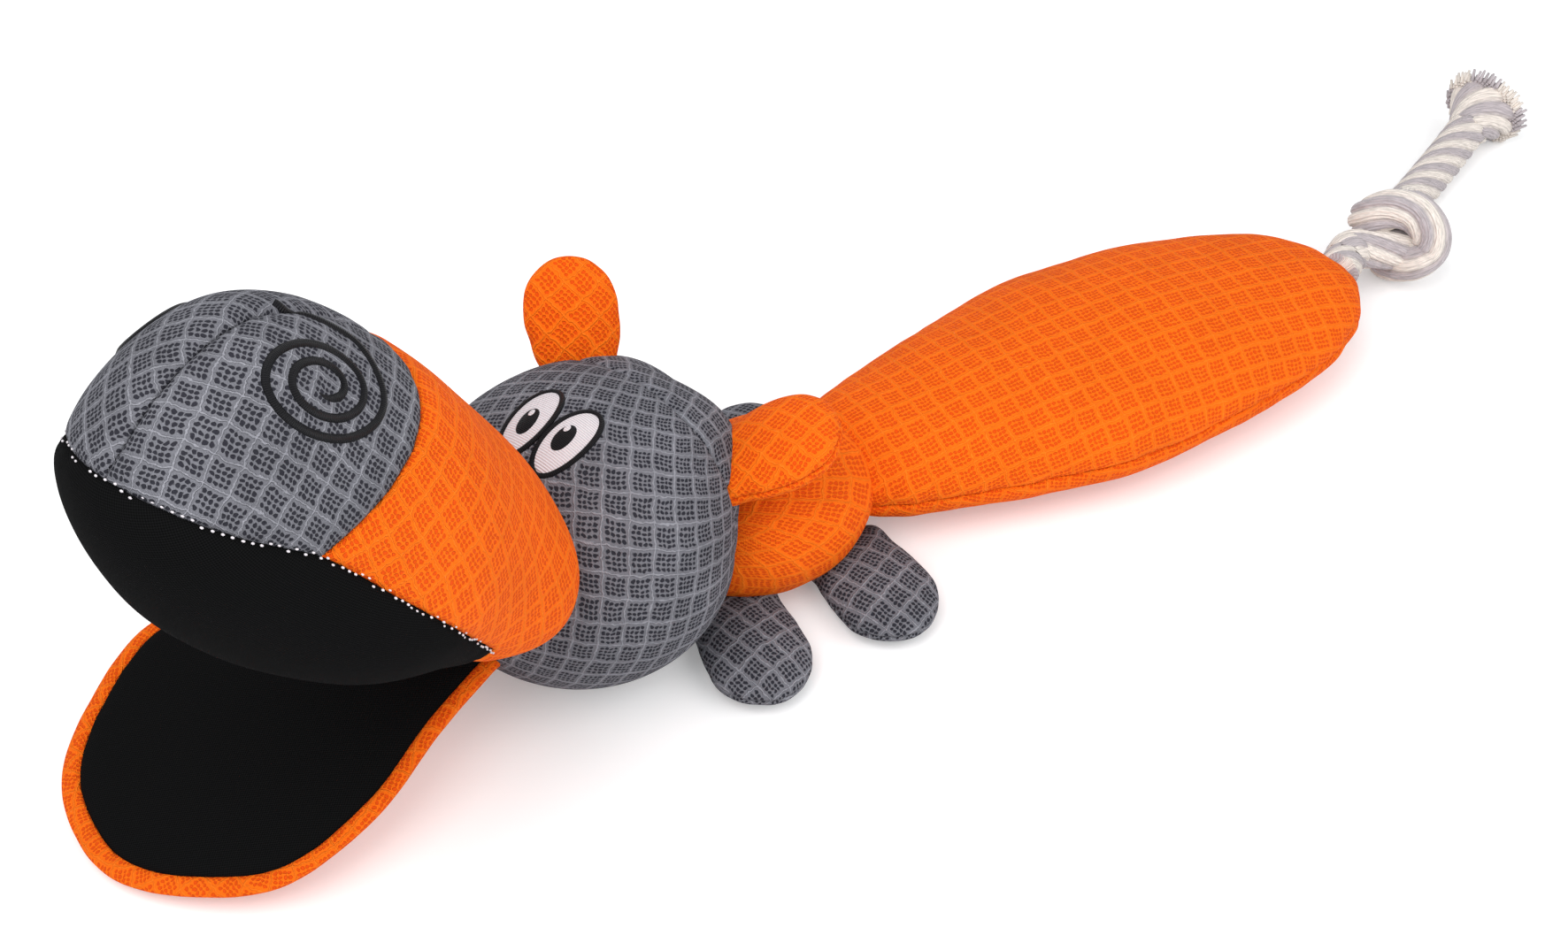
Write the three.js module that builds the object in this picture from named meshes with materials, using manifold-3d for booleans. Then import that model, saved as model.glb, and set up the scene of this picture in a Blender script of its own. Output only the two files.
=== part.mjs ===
// A stuffed dog toy in mesh cloth: a wide open mouth, a ball head, a short body with four paws,
// a padded paddle tail and a knotted cotton rope. Sizes are in millimetres and angles in degrees.
// X runs from the tail to the mouth, Y to the animal's left and Z up from the floor it lies on.
// The origin is the middle of the small flat that the head stands on.
import * as THREE from 'three';
import { mergeVertices } from 'three/addons/utils/BufferGeometryUtils.js';
import Module from 'manifold-3d';

const wasm = await Module();
wasm.setup();

// Cloth, seams and the flats pressed by the floor.
const cloth = 2.4;
const seamGap = 0.3;
const seamAllowance = 4;
const sweepStep = 12;
const floorFlat = 0.5;
const cutReach = 400;

// How many sides and rings round off the outside and the inside of each form.
const headRounds = { sides: 28, rings: 14, innerSides: 14, innerRings: 8 };
const muzzleRounds = { sides: 24, rings: 14, innerSides: 14, innerRings: 9 };
const jawRounds = { sides: 28, rings: 6, innerSides: 16, innerRings: 4 };
const torsoRounds = { sides: 20, rings: 10, innerSides: 12, innerRings: 6 };
const lobeRounds = { sides: 16, rings: 6, innerSides: 8, innerRings: 4 };
const tailRounds = { sides: 20, rings: 14, innerSides: 12, innerRings: 8 };

// Head: a ball, turned to its left, whose fuller back cap is sewn on behind the ears.
const headRadius = 40;
const headBackShare = 1.085;
const headYaw = 21;
const headSeamX = -16;
const headTurnRange = [-40, 10];
const headTurnStep = 17;

// Eyes: two flat embroidered ovals side by side on the crown.
const eyeLength = 24;
const eyeWidth = 12;
const eyeX = 8;
const eyeSplay = 5;
const threadThick = 0.8;

// Upper jaw: a blunt stuffed muzzle that rises from the front of the head.
const muzzleX = 27.5;
const muzzleZ = 11.5;
const muzzlePitch = 47;
const muzzleLength = 143;
const muzzleHalfWidth = 39.5;
const muzzleAbove = 40;
const muzzleBelow = 32;
const muzzleWidthShares = [1.5, 1, 1, 0.9, 1.05];
const muzzleAboveShares = [1, 0.9, 1, 1.23, 1.6];
const muzzleBelowShares = [1.05, 0.92, 1, 1, 0.87];

// Muzzle seams: the lip, the mouth's corner and the slanted seam between nose and cheeks.
const lipBendX = 90;
const cornerX = 38;
const cornerDrop = 10;
const throatX = 26;
const noseLength = 32;
const noseSeamLean = 33.4;

// Nostrils: an embroidered cord that winds out from the middle, wider along the muzzle than across,
// and leaves in a tail for the nose's middle seam.
const nostrilCentre = [116.2, 16.3, 32.2];
const nostrilFacing = [0.28, 0.72, 0.63];
const nostrilCord = 2;
const nostrilStart = 2.8;
const nostrilPitch = 4.9;
const nostrilTurns = 2.4;
const nostrilStartAngle = -140;
const nostrilWideShare = 1.18;
const nostrilHighShare = 0.84;
const nostrilStepsPerTurn = 10;
const nostrilTailSteps = 4;
const nostrilTail = [[13, 11], [4, 15.5], [-0.5, 16.8]];

// Lower jaw: a flat padded spoon hinged at the mouth's corners, whose tip rests on the floor.
const jawX = 34;
const jawY = -3.2;
const jawZ = 28;
const jawLength = 104;
const jawHalfWidth = 45;
const jawAbove = 5;
const jawBelow = 10;
const jawDrop = 13.5;
const jawSeamZ = 2;
const jawOutlineShares = [
  [1, 0], [0.97, 0.38], [0.85, 0.72], [0.65, 1], [0.4, 0.93], [0.18, 0.68], [0, 0.52],
];
const jawRange = [-36, 12];

// Body: short, sewn to the back of the head, with a seam low on its sides that holds the paws.
const torsoFrontX = -20;
const torsoLength = 63;
const torsoHalfWidth = 25;
const torsoHeight = 42;
const torsoSwellShares = [0.95, 1, 1, 0.95];
const torsoSeamZ = 7;

// Ears: two-sided lobes on the head's back seam. The left one lies back, the right one stands up.
const earThick = 10;
const earRoot = 1.5;
const earLeft = { around: 127, rise: 31, yaw: 141, pitch: 20, length: 30, halfWidth: 14.3 };
const earRight = { around: -139, rise: 40, yaw: -127, pitch: 62, length: 28.5, halfWidth: 12.6 };
const earOutlineShares = [[1, 0], [0.93, 0.5], [0.75, 0.88], [0.5, 1], [0.25, 0.98], [0, 0.9]];
const earRange = [-30, 30];

// Paws: two-sided lobes that lie on the floor and fold at the body's side seam.
const pawLength = 38;
const pawHalfWidth = 13.5;
const pawThick = 13;
const frontPaw = { x: -34, y: 11.5, yaw: 81 };
const hindPaw = { x: -68, y: 10, yaw: 92 };
const pawOutlineShares = [[1, 0], [0.93, 0.55], [0.75, 0.95], [0.5, 1], [0.25, 0.92], [0, 0.75]];
const pawRange = [-15, 25];
const pawHingeY = 20;

// Tail: a long padded paddle sewn round the end of the body.
const tailX = -65;
const tailY = -4;
const tailYaw = -2;
const tailLength = 176;
const tailHalfWidth = 37.5;
const tailHeight = 37;
const tailWidthShares = [1.03, 0.89, 0.93, 1, 1, 1.06, 1.12];
const tailHeightShares = [0.95, 1, 1, 1, 1, 1, 1.15];
const tailTipAside = -4;
const tailHingeX = -60;
const tailHingeY = -3;
const tailRange = [-12, 8];

// Squeaker: a round bladder with a reed pressed into its face, in the middle of the muzzle.
const squeakerSeat = [85, 0, 2];
const squeakerRadius = 14;
const squeakerHeight = 13;
const squeakerSides = 20;
const reedRadius = 4;
const reedHeight = 5;

// Rope: twisted cotton, held in the tail by a stopper and knotted once outside it.
const ropeDiameter = 12;
const ropeSides = 12;
const ropeNeck = [[-239.5, 3.5, 18], [-246, -0.9, 16.3], [-251.7, -3.6, 16]];
const ropeEnd = [[-283.7, -18.2, 7], [-308, -28.5, 7], [-325, -35.5, 9.5]];
const ropeNeckSteps = 2;
const ropeEndSteps = 3;
const ropeRange = [-30, 30];
const stopperRadius = 9;
const stopperDepth = 15;
const frayLength = 14;
const frayFlareShare = 1.75;

// Knot: one turn of an open three-lobed ring beside the rope's line, drawn tight so the cord thins.
const knotCord = 6.5;
const knotRing = 8.2;
const knotWave = 3.8;
const knotRise = 5.8;
const knotOpening = 12;
const knotAside = 12;
const knotLead = 9;
const knotPoints = 24;
const knotSides = 8;
const knotSteps = 60;
const knotLeastGap = 0.4;

const clothGrey = { color: 0x6f7079, roughness: 0.9 };
const clothOrange = { color: 0xff6a12, roughness: 0.85 };
const liningBlack = { color: 0x141414, roughness: 0.8 };
const fibreWhite = { color: 0xe8e6e0, roughness: 1 };
const threadWhite = { color: 0xe1d7de, roughness: 0.6 };
const threadBlack = { color: 0x111111, roughness: 0.5 };
const cotton = { color: 0xd9cdc4, roughness: 0.95 };
const vinyl = { color: 0xe9e2cf, roughness: 0.45 };

const upward = new THREE.Vector3(0, 0, 1);
const toy = new THREE.Group();

function radians(degrees) {
  return THREE.MathUtils.degToRad(degrees);
}

// A group at a place in its parent: pitched with its front up, then turned by yaw.
function place(parent, position, yaw = 0, pitch = 0) {
  const group = new THREE.Group();
  group.position.set(...position);
  group.rotation.set(0, radians(-pitch), radians(yaw), 'ZYX');
  parent.add(group);
  toy.updateMatrixWorld(true);
  return group;
}

// A solid in the toy's own frame, from a form and the group that holds it.
function solidOf(form, group = toy) {
  const bare = bareForm(form).applyMatrix4(group.matrixWorld);
  const vertProperties = Float32Array.from(bare.attributes.position.array);
  const triVerts = Uint32Array.from(bare.index.array);
  return new wasm.Manifold(new wasm.Mesh({ numProp: 3, vertProperties, triVerts }));
}

function bareForm(form) {
  const bare = form.clone();
  bare.deleteAttribute('normal');
  bare.deleteAttribute('uv');
  return mergeVertices(bare);
}

function addPiece(group, name, solid, finish) {
  const { vertProperties, triVerts } = solid.getMesh();
  const geometry = new THREE.BufferGeometry();
  geometry.setAttribute('position', new THREE.BufferAttribute(vertProperties, 3));
  geometry.setIndex(new THREE.BufferAttribute(triVerts, 1));
  geometry.applyMatrix4(group.matrixWorld.clone().invert());
  const mesh = new THREE.Mesh(geometry, new THREE.MeshStandardMaterial(finish));
  mesh.name = name;
  group.add(mesh);
}

// A smooth curve through evenly spaced shares, read at a share of the length.
function swell(shares) {
  const curve = new THREE.SplineCurve(shares.map((share, step) => new THREE.Vector2(step, share)));
  return (along) => curve.getPoint(along).y;
}

function movePoints(form, move) {
  const points = form.attributes.position;
  const point = new THREE.Vector3();
  for (let i = 0; i < points.count; i += 1) {
    point.fromBufferAttribute(points, i);
    move(point, i);
    points.setXYZ(i, point.x, point.y, point.z);
  }
  return form;
}

function unitBall(sides, rings) {
  return bareForm(new THREE.SphereGeometry(1, sides, rings)).rotateX(Math.PI / 2);
}

// A stuffed shape along X with round ends: a ball whose rings swell by the share curves.
// Past its middle, it bends aside by the tip's shift.
function stuffedShape(form) {
  const widthAt = swell(form.widthShares);
  const aboveAt = swell(form.aboveShares);
  const belowAt = swell(form.belowShares);
  return (sides, rings, depth) => {
    const ball = movePoints(unitBall(sides, rings).rotateY(Math.PI / 2), (point) => {
      const along = THREE.MathUtils.clamp((point.x + 1) / 2, 0, 1);
      const aside = (form.tipAside ?? 0) * Math.max(0, point.x) ** 2;
      const height = point.z > 0 ? form.above * aboveAt(along) : form.below * belowAt(along);
      point.set(form.length * along, aside + form.halfWidth * widthAt(along) * point.y, height * point.z);
    });
    return inset(ball, depth);
  };
}

// A padded shape: a ball pressed flat, whose equator follows a closed outline in the XY plane.
// Its inside keeps the seam allowance to the edge and the cloth's thickness to the faces.
function paddedShape({ outlineShares, length, halfWidth, above, below }) {
  return (sides, rings, depth) => {
    const outline = mirroredOutline(outlineShares, length, halfWidth, sides);
    const middle = outline.reduce((sum, point) => sum.add(point), new THREE.Vector3()).divideScalar(sides);
    const margin = (depth * seamAllowance) / cloth;
    return movePoints(unitBall(sides, rings), (point) => {
      const turn = Math.atan2(point.y, point.x) / (2 * Math.PI);
      const edge = outline[Math.round((turn + 1) * sides) % sides];
      const reach = 1 - margin / edge.distanceTo(middle);
      const out = Math.hypot(point.x, point.y) * reach;
      const height = point.z * ((point.z > 0 ? above : below) - depth);
      point.lerpVectors(middle, edge, out).setZ(height);
    });
  };
}

// A closed outline with mirrored sides, from shares of its length and half width, tip first.
function mirroredOutline(shares, length, halfWidth, sides) {
  const left = shares.map(([along, across]) => new THREE.Vector3(along * length, across * halfWidth, 0));
  const right = left.slice(1).reverse().map((point) => new THREE.Vector3(point.x, -point.y, 0));
  return new THREE.CatmullRomCurve3([...left, ...right], true).getSpacedPoints(sides).slice(0, sides);
}

// The same form with its surface moved in along its normals, or out where the depth is negative.
function inset(form, depth) {
  form.computeVertexNormals();
  const normals = form.attributes.normal;
  const normal = new THREE.Vector3();
  return movePoints(form, (point, i) => {
    normal.fromBufferAttribute(normals, i);
    point.addScaledVector(normal, -depth);
  });
}

// One soft part: its cloth layer, still closed all round, its filling and the room it takes up.
function softPart(shape, { sides, rings, innerSides, innerRings }, group) {
  const solidAt = (depth) => solidOf(shape(sides, rings, depth), group);
  const innerAt = (depth) => solidOf(shape(innerSides, innerRings, depth), group);
  return {
    cover: solidAt(0).subtract(innerAt(cloth)),
    filling: innerAt(cloth + seamGap),
    room: solidAt(-seamGap),
    thread: solidAt(-seamGap - threadThick).subtract(solidAt(-seamGap)),
  };
}

// All that lies on the side of a plane that its normal points to, half a seam gap away.
function sideOf(point, normal, group = toy, gap = seamGap / 2) {
  const block = new THREE.BoxGeometry(2 * cutReach, 2 * cutReach, cutReach);
  const turn = new THREE.Quaternion().setFromUnitVectors(upward, new THREE.Vector3(...normal).normalize());
  block.translate(0, 0, cutReach / 2 + gap).applyQuaternion(turn).translate(...point);
  return solidOf(block, group);
}

function turnedAbout(solid, { pivot, axis }, angle) {
  const turn = new THREE.Matrix4().makeRotationAxis(new THREE.Vector3(...axis).normalize(), radians(angle));
  const there = new THREE.Matrix4().makeTranslation(...pivot);
  const back = there.clone().invert();
  return solid.transform(there.multiply(turn).multiply(back).toArray());
}

// The room that fixed solids take up as a hinged piece meets them through its whole range.
function sweptRoom(solid, hinge, stepAngle = sweepStep) {
  const [low, high] = hinge.range;
  const steps = Math.ceil((high - low) / stepAngle);
  let room = solid;
  for (let step = 0; step <= steps; step += 1) {
    const angle = THREE.MathUtils.lerp(low, high, step / steps);
    room = room.add(turnedAbout(solid, hinge, -angle));
  }
  return room;
}

const aboveFloor = sideOf([0, 0, 0], [0, 0, 1], toy, 0);
const headPlace = place(toy, [0, 0, headRadius - floorFlat], headYaw);
const head = softPart(headShape, headRounds, headPlace);
const headTurn = { pivot: [0, 0, 0], axis: [0, 0, -1], range: headTurnRange };
const headSweep = sweptRoom(head.room, headTurn, headTurnStep);

function headShape(sides, rings, depth) {
  return movePoints(unitBall(sides, rings).rotateY(Math.PI / 2), (point) => {
    const back = point.x < 0 ? headBackShare : 1;
    point.multiplyScalar(headRadius - depth);
    point.x *= back;
  });
}

function addHead() {
  const cover = head.cover.intersect(aboveFloor);
  const seam = [headSeamX, 0, 0];
  addPiece(headPlace, 'head_face_panel', cover.intersect(sideOf(seam, [1, 0, 0], headPlace)), clothGrey);
  addPiece(headPlace, 'head_back_panel', cover.intersect(sideOf(seam, [-1, 0, 0], headPlace)), clothGrey);
  addPiece(headPlace, 'head_filling', head.filling, fibreWhite);
}

function columnOf(shape, depth) {
  return new THREE.ExtrudeGeometry(shape, { depth, bevelEnabled: false, curveSegments: 6 });
}

function addEyes() {
  for (const side of [1, -1]) {
    const oval = new THREE.Shape();
    oval.absellipse(0, 0, eyeLength / 2, (eyeWidth - seamGap) / 2, 0, 2 * Math.PI);
    const column = columnOf(oval, cutReach);
    column.rotateZ(radians(side * eyeSplay)).translate(eyeX, (side * eyeWidth) / 2, 0);
    const name = side > 0 ? 'eye_left' : 'eye_right';
    addPiece(headPlace, name, head.thread.intersect(solidOf(column, headPlace)), threadWhite);
  }
}

const muzzlePlace = place(headPlace, [muzzleX, 0, muzzleZ], 0, muzzlePitch);
const muzzleShape = stuffedShape({
  length: muzzleLength,
  halfWidth: muzzleHalfWidth,
  above: muzzleAbove,
  below: muzzleBelow,
  widthShares: muzzleWidthShares,
  aboveShares: muzzleAboveShares,
  belowShares: muzzleBelowShares,
});
const muzzle = softPart(muzzleShape, muzzleRounds, muzzlePlace);

// The part of the muzzle below the lip: level in front, then down to the mouth's corner and the throat.
function belowLip(lift) {
  const profile = new THREE.Shape();
  profile.moveTo(cutReach, lift);
  profile.lineTo(lipBendX, lift);
  profile.quadraticCurveTo((lipBendX + cornerX) / 2, lift, cornerX - lift, lift - cornerDrop);
  profile.lineTo(throatX - lift, -cutReach);
  profile.lineTo(cutReach, -cutReach);
  const block = columnOf(profile, 2 * cutReach);
  return solidOf(block.translate(0, 0, -cutReach).rotateX(Math.PI / 2), muzzlePlace);
}

function addMuzzle() {
  const cover = muzzle.cover.subtract(head.room);
  const upper = cover.subtract(belowLip(seamGap));
  const lean = radians(noseSeamLean);
  const noseWay = [Math.cos(lean), 0, Math.sin(lean)];
  const cheekWay = noseWay.map((part) => -part);
  const nose = upper.intersect(sideOf([muzzleLength - noseLength, 0, 0], noseWay, muzzlePlace));
  const leftNose = nose.intersect(sideOf([0, 0, 0], [0, 1, 0], muzzlePlace));
  const rightNose = nose.intersect(sideOf([0, 0, 0], [0, -1, 0], muzzlePlace));
  addPiece(muzzlePlace, 'nose_panel_left', leftNose, clothGrey);
  addPiece(muzzlePlace, 'nose_panel_right', rightNose, clothGrey);
  const cheeks = upper.intersect(sideOf([muzzleLength - noseLength, 0, 0], cheekWay, muzzlePlace));
  addPiece(muzzlePlace, 'cheek_band', cheeks, clothOrange);
  addPiece(muzzlePlace, 'palate_panel', cover.intersect(belowLip(0)), liningBlack);
}

// A nostril's line seen from outside: it winds out from its middle, then leaves for the top of the nose.
function nostrilLine() {
  const steps = Math.round(nostrilTurns * nostrilStepsPerTurn);
  const winding = Array.from({ length: steps + 1 }, (_, step) => {
    const turns = step / nostrilStepsPerTurn;
    const reach = nostrilStart + nostrilPitch * turns;
    const angle = radians(nostrilStartAngle) + 2 * Math.PI * turns;
    return new THREE.Vector2(
      nostrilWideShare * reach * Math.cos(angle),
      nostrilHighShare * reach * Math.sin(angle),
    );
  });
  const tail = nostrilTail.map((point) => new THREE.Vector2(...point));
  const leaving = new THREE.SplineCurve([...winding.slice(-1), ...tail]);
  return [...winding, ...leaving.getPoints(nostrilTailSteps).slice(1)];
}

// The outline of a line drawn with a round cord.
function strokeShape(line, width) {
  const edges = [1, -1].map((side) => line.map((point, i) => {
    const before = line[Math.max(i - 1, 0)];
    const after = line[Math.min(i + 1, line.length - 1)];
    const along = after.clone().sub(before).normalize();
    return new THREE.Vector2(-along.y, along.x).multiplyScalar((side * width) / 2).add(point);
  }));
  return new THREE.Shape([...edges[0].reverse(), ...edges[1]]);
}

function addNostrils() {
  const stroke = strokeShape(nostrilLine(), nostrilCord);
  const column = columnOf(stroke, muzzleHalfWidth);
  column.translate(0, 0, -muzzleHalfWidth / 2);
  const facing = new THREE.Vector3(...nostrilFacing).normalize();
  const back = new THREE.Vector3(-1, 0, 0).projectOnPlane(facing).normalize();
  const frame = new THREE.Matrix4().makeBasis(back, facing.clone().cross(back), facing);
  column.applyMatrix4(frame).translate(...nostrilCentre);
  const left = solidOf(column);
  const right = left.mirror([0, 1, 0]);
  for (const [name, solid] of [['nostril_left', left], ['nostril_right', right]]) {
    const placed = solid.transform(muzzlePlace.matrixWorld.toArray());
    addPiece(muzzlePlace, name, muzzle.thread.intersect(placed), threadBlack);
  }
}

// The squeaker sits in a well in the muzzle's filling: a round bladder and the reed in its face.
function addSqueaker() {
  const bladder = lathed([
    [0, 0],
    [squeakerRadius, 0],
    [squeakerRadius, squeakerHeight],
    [reedRadius + seamGap, squeakerHeight],
    [reedRadius + seamGap, squeakerHeight - reedHeight - seamGap],
    [0, squeakerHeight - reedHeight - seamGap],
  ]);
  const reed = lathed([
    [0, squeakerHeight - reedHeight],
    [reedRadius, squeakerHeight - reedHeight],
    [reedRadius, squeakerHeight],
    [0, squeakerHeight],
  ]);
  const well = lathed([
    [0, -seamGap],
    [squeakerRadius + seamGap, -seamGap],
    [squeakerRadius + seamGap, cutReach],
    [0, cutReach],
  ]);
  const filling = muzzle.filling.subtract(head.room).subtract(solidOf(well, muzzlePlace));
  addPiece(muzzlePlace, 'muzzle_filling', filling, fibreWhite);
  addPiece(muzzlePlace, 'squeaker_bladder', solidOf(bladder, muzzlePlace), vinyl);
  addPiece(muzzlePlace, 'squeaker_reed', solidOf(reed, muzzlePlace), vinyl);
}

// A round piece on the squeaker's axis, from radii and heights, first and last on the axis.
function lathed(profile) {
  const points = profile.map(([radius, height]) => new THREE.Vector2(radius, height));
  return new THREE.LatheGeometry(points, squeakerSides).rotateX(Math.PI / 2).translate(...squeakerSeat);
}

addHead();
addEyes();
addMuzzle();
addNostrils();
addSqueaker();

const jawHinge = { pivot: [jawX, jawY, jawZ], axis: [0, 1, 0], range: jawRange };
const jawPlace = place(toy, jawHinge.pivot, 0, -jawDrop);
const jawShape = paddedShape({
  outlineShares: jawOutlineShares,
  length: jawLength,
  halfWidth: jawHalfWidth,
  above: jawAbove,
  below: jawBelow,
});
const jaw = softPart(jawShape, jawRounds, jawPlace);

function addJaw() {
  const room = sweptRoom(head.room.add(muzzle.room), jawHinge);
  const cover = jaw.cover.subtract(room).intersect(aboveFloor);
  const seam = [0, 0, jawSeamZ];
  addPiece(jawPlace, 'jaw_lining', cover.intersect(sideOf(seam, [0, 0, 1], jawPlace)), liningBlack);
  addPiece(jawPlace, 'jaw_underside', cover.intersect(sideOf(seam, [0, 0, -1], jawPlace)), clothOrange);
  addPiece(jawPlace, 'jaw_filling', jaw.filling.subtract(room), fibreWhite);
}

addJaw();

const torsoPlace = place(toy, [torsoFrontX, 0, torsoHeight / 2 - floorFlat], 180);
const torsoShape = stuffedShape({
  length: torsoLength,
  halfWidth: torsoHalfWidth,
  above: torsoHeight / 2,
  below: torsoHeight / 2,
  widthShares: torsoSwellShares,
  aboveShares: torsoSwellShares,
  belowShares: torsoSwellShares,
});
const torso = softPart(torsoShape, torsoRounds, torsoPlace);

function addTorso() {
  const cover = torso.cover.subtract(headSweep).intersect(aboveFloor);
  const back = cover.intersect(sideOf([0, 0, torsoSeamZ], [0, 0, 1]));
  const belly = cover.intersect(sideOf([0, 0, torsoSeamZ], [0, 0, -1]));
  addPiece(torsoPlace, 'body_back_panel', back, clothOrange);
  addPiece(torsoPlace, 'body_belly_panel', belly, clothOrange);
  addPiece(torsoPlace, 'body_filling', torso.filling.subtract(headSweep), fibreWhite);
}

addTorso();

// A two-sided lobe sewn round its edge, with its filling, trimmed to what it is sewn to.
function addLobe(group, name, shape, room, finish) {
  const lobe = softPart(shape, lobeRounds, group);
  const cover = lobe.cover.subtract(room).intersect(aboveFloor);
  addPiece(group, `${name}_upper_panel`, cover.intersect(sideOf([0, 0, 0], [0, 0, 1], group)), finish);
  addPiece(group, `${name}_lower_panel`, cover.intersect(sideOf([0, 0, 0], [0, 0, -1], group)), finish);
  addPiece(group, `${name}_filling`, lobe.filling.subtract(room), fibreWhite);
}

function addEar(name, { around, rise, yaw, pitch, length, halfWidth }) {
  const across = (headRadius - earRoot) * Math.cos(radians(rise));
  const root = [
    headBackShare * across * Math.cos(radians(around)),
    across * Math.sin(radians(around)),
    (headRadius - earRoot) * Math.sin(radians(rise)),
  ];
  const earShape = paddedShape({
    outlineShares: earOutlineShares,
    length,
    halfWidth,
    above: earThick / 2,
    below: earThick / 2,
  });
  const group = place(headPlace, root, yaw, pitch);
  const axis = new THREE.Vector3(0, 1, 0).transformDirection(group.matrixWorld).toArray();
  const pivot = group.localToWorld(new THREE.Vector3(earRoot, 0, 0)).toArray();
  addLobe(group, name, earShape, sweptRoom(head.room, { pivot, axis, range: earRange }), clothOrange);
}

addEar('ear_left', earLeft);
addEar('ear_right', earRight);

const pawShape = paddedShape({
  outlineShares: pawOutlineShares,
  length: pawLength,
  halfWidth: pawHalfWidth,
  above: pawThick / 2,
  below: pawThick / 2,
});

// Paws fold about the body's side seam; on the right a lift turns the other way round X.
function addPaw(name, { x, y, yaw }, side) {
  const height = pawThick / 2 - floorFlat;
  const group = place(toy, [x, side * y, height], side * yaw);
  const hinge = { pivot: [x, side * pawHingeY, height], axis: [side, 0, 0], range: pawRange };
  addLobe(group, name, pawShape, sweptRoom(torso.room.add(headSweep), hinge), clothGrey);
}

addPaw('front_paw_left', frontPaw, 1);
addPaw('front_paw_right', frontPaw, -1);
addPaw('hind_paw_left', hindPaw, 1);
addPaw('hind_paw_right', hindPaw, -1);

const tailPlace = place(toy, [tailX, tailY, tailHeight / 2 - floorFlat], 180 + tailYaw);
const tailShape = stuffedShape({
  length: tailLength,
  halfWidth: tailHalfWidth,
  above: tailHeight / 2,
  below: tailHeight / 2,
  widthShares: tailWidthShares,
  aboveShares: tailHeightShares,
  belowShares: tailHeightShares,
  tipAside: tailTipAside,
});
const tail = softPart(tailShape, tailRounds, tailPlace);
const tailHinge = { pivot: [tailHingeX, tailHingeY, 0], axis: [0, 0, 1], range: tailRange };

// A round cord along a route, closed by flat ends.
function cordAlong(curve, diameter, sides, steps) {
  const corners = Array.from({ length: sides }, (_, i) => {
    const angle = (2 * Math.PI * i) / sides;
    return new THREE.Vector2(Math.cos(angle), Math.sin(angle)).multiplyScalar(diameter / 2);
  });
  return solidOf(new THREE.ExtrudeGeometry(new THREE.Shape(corners), {
    extrudePath: curve,
    steps,
    bevelEnabled: false,
  }));
}

function routeThrough(points) {
  return new THREE.CatmullRomCurve3(points.map((point) => new THREE.Vector3(...point)));
}

function ballAt(centre, radius) {
  return solidOf(unitBall(ropeSides, ropeSides).scale(radius, radius, radius).translate(...centre));
}

// The rope's neck outside the tail, and the ball end that turns in a seat at the tail's end.
function neckTube(grow) {
  return cordAlong(routeThrough(ropeNeck), ropeDiameter + 2 * grow, ropeSides, ropeNeckSteps);
}

function neckBall(grow) {
  return ballAt(ropeNeck[0], ropeDiameter / 2 + grow);
}

// The rope's inner end, in line with the neck: a straight stub and a stopper knot in the filling.
function anchorSolid(grow) {
  const [start, next] = ropeNeck.map((point) => new THREE.Vector3(...point));
  const inward = start.clone().sub(next).setZ(0).setLength(stopperDepth);
  const stopper = start.clone().add(inward).toArray();
  const stub = cordAlong(routeThrough([ropeNeck[0], stopper]), ropeDiameter + 2 * grow, ropeSides, 1);
  return stub.add(ballAt(stopper, stopperRadius + grow));
}

const ropeHinge = { pivot: ropeNeck[0], axis: [0, 0, 1], range: ropeRange };

function addTail() {
  const room = sweptRoom(torso.room, tailHinge);
  const neckRoom = sweptRoom(neckTube(seamGap), ropeHinge).add(neckBall(seamGap));
  const ropeRoom = anchorSolid(seamGap).add(neckRoom);
  const cover = tail.cover.subtract(room).subtract(ropeRoom).intersect(aboveFloor);
  const top = cover.intersect(sideOf([0, 0, 0], [0, 0, 1], tailPlace));
  const bottom = cover.intersect(sideOf([0, 0, 0], [0, 0, -1], tailPlace));
  addPiece(tailPlace, 'tail_top_panel', top, clothOrange);
  addPiece(tailPlace, 'tail_bottom_panel', bottom, clothOrange);
  addPiece(tailPlace, 'tail_filling', tail.filling.subtract(room).subtract(ropeRoom), fibreWhite);
  addPiece(tailPlace, 'rope_anchor', anchorSolid(0).subtract(neckRoom), cotton);
}

addTail();

// The knot's line, in one unbroken pass: a lead in from the neck, an open ring of three lobes that
// goes over and under itself, and a lead out to the rope's end.
function knotLine() {
  const from = new THREE.Vector3(...ropeNeck.at(-1));
  const to = new THREE.Vector3(...ropeEnd[0]);
  const way = to.clone().sub(from).setZ(0).normalize();
  const aside = way.clone().cross(upward);
  const centre = from.clone().lerp(to, 1 / 2).addScaledVector(aside, knotAside);
  const opening = radians(knotOpening);
  const ring = Array.from({ length: knotPoints }, (_, i) => {
    const turn = THREE.MathUtils.lerp(opening, 2 * Math.PI - opening, i / (knotPoints - 1));
    const reach = knotRing + knotWave * Math.cos(3 * turn);
    return centre.clone()
      .addScaledVector(aside, -reach * Math.cos(2 * turn))
      .addScaledVector(way, reach * Math.sin(2 * turn))
      .addScaledVector(upward, knotRise * Math.sin(3 * turn));
  });
  const leadIn = [0, 1].map((step) => from.clone().addScaledVector(way, seamGap + step * knotLead));
  const leadOut = [1, 0].map((step) => to.clone().addScaledVector(way, -seamGap - step * knotLead));
  return new THREE.CatmullRomCurve3([...leadIn, ...ring, ...leadOut]);
}

// The least gap between passes of the knot's cord that are more than two diameters apart along it.
function knotGap(line) {
  const points = line.getSpacedPoints(knotSteps * 2);
  const step = line.getLength() / (knotSteps * 2);
  const apart = Math.ceil((2 * knotCord) / step);
  const gaps = points.flatMap((point, i) => points.slice(i + apart).map((other) => point.distanceTo(other)));
  return Math.min(...gaps) - knotCord;
}

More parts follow.
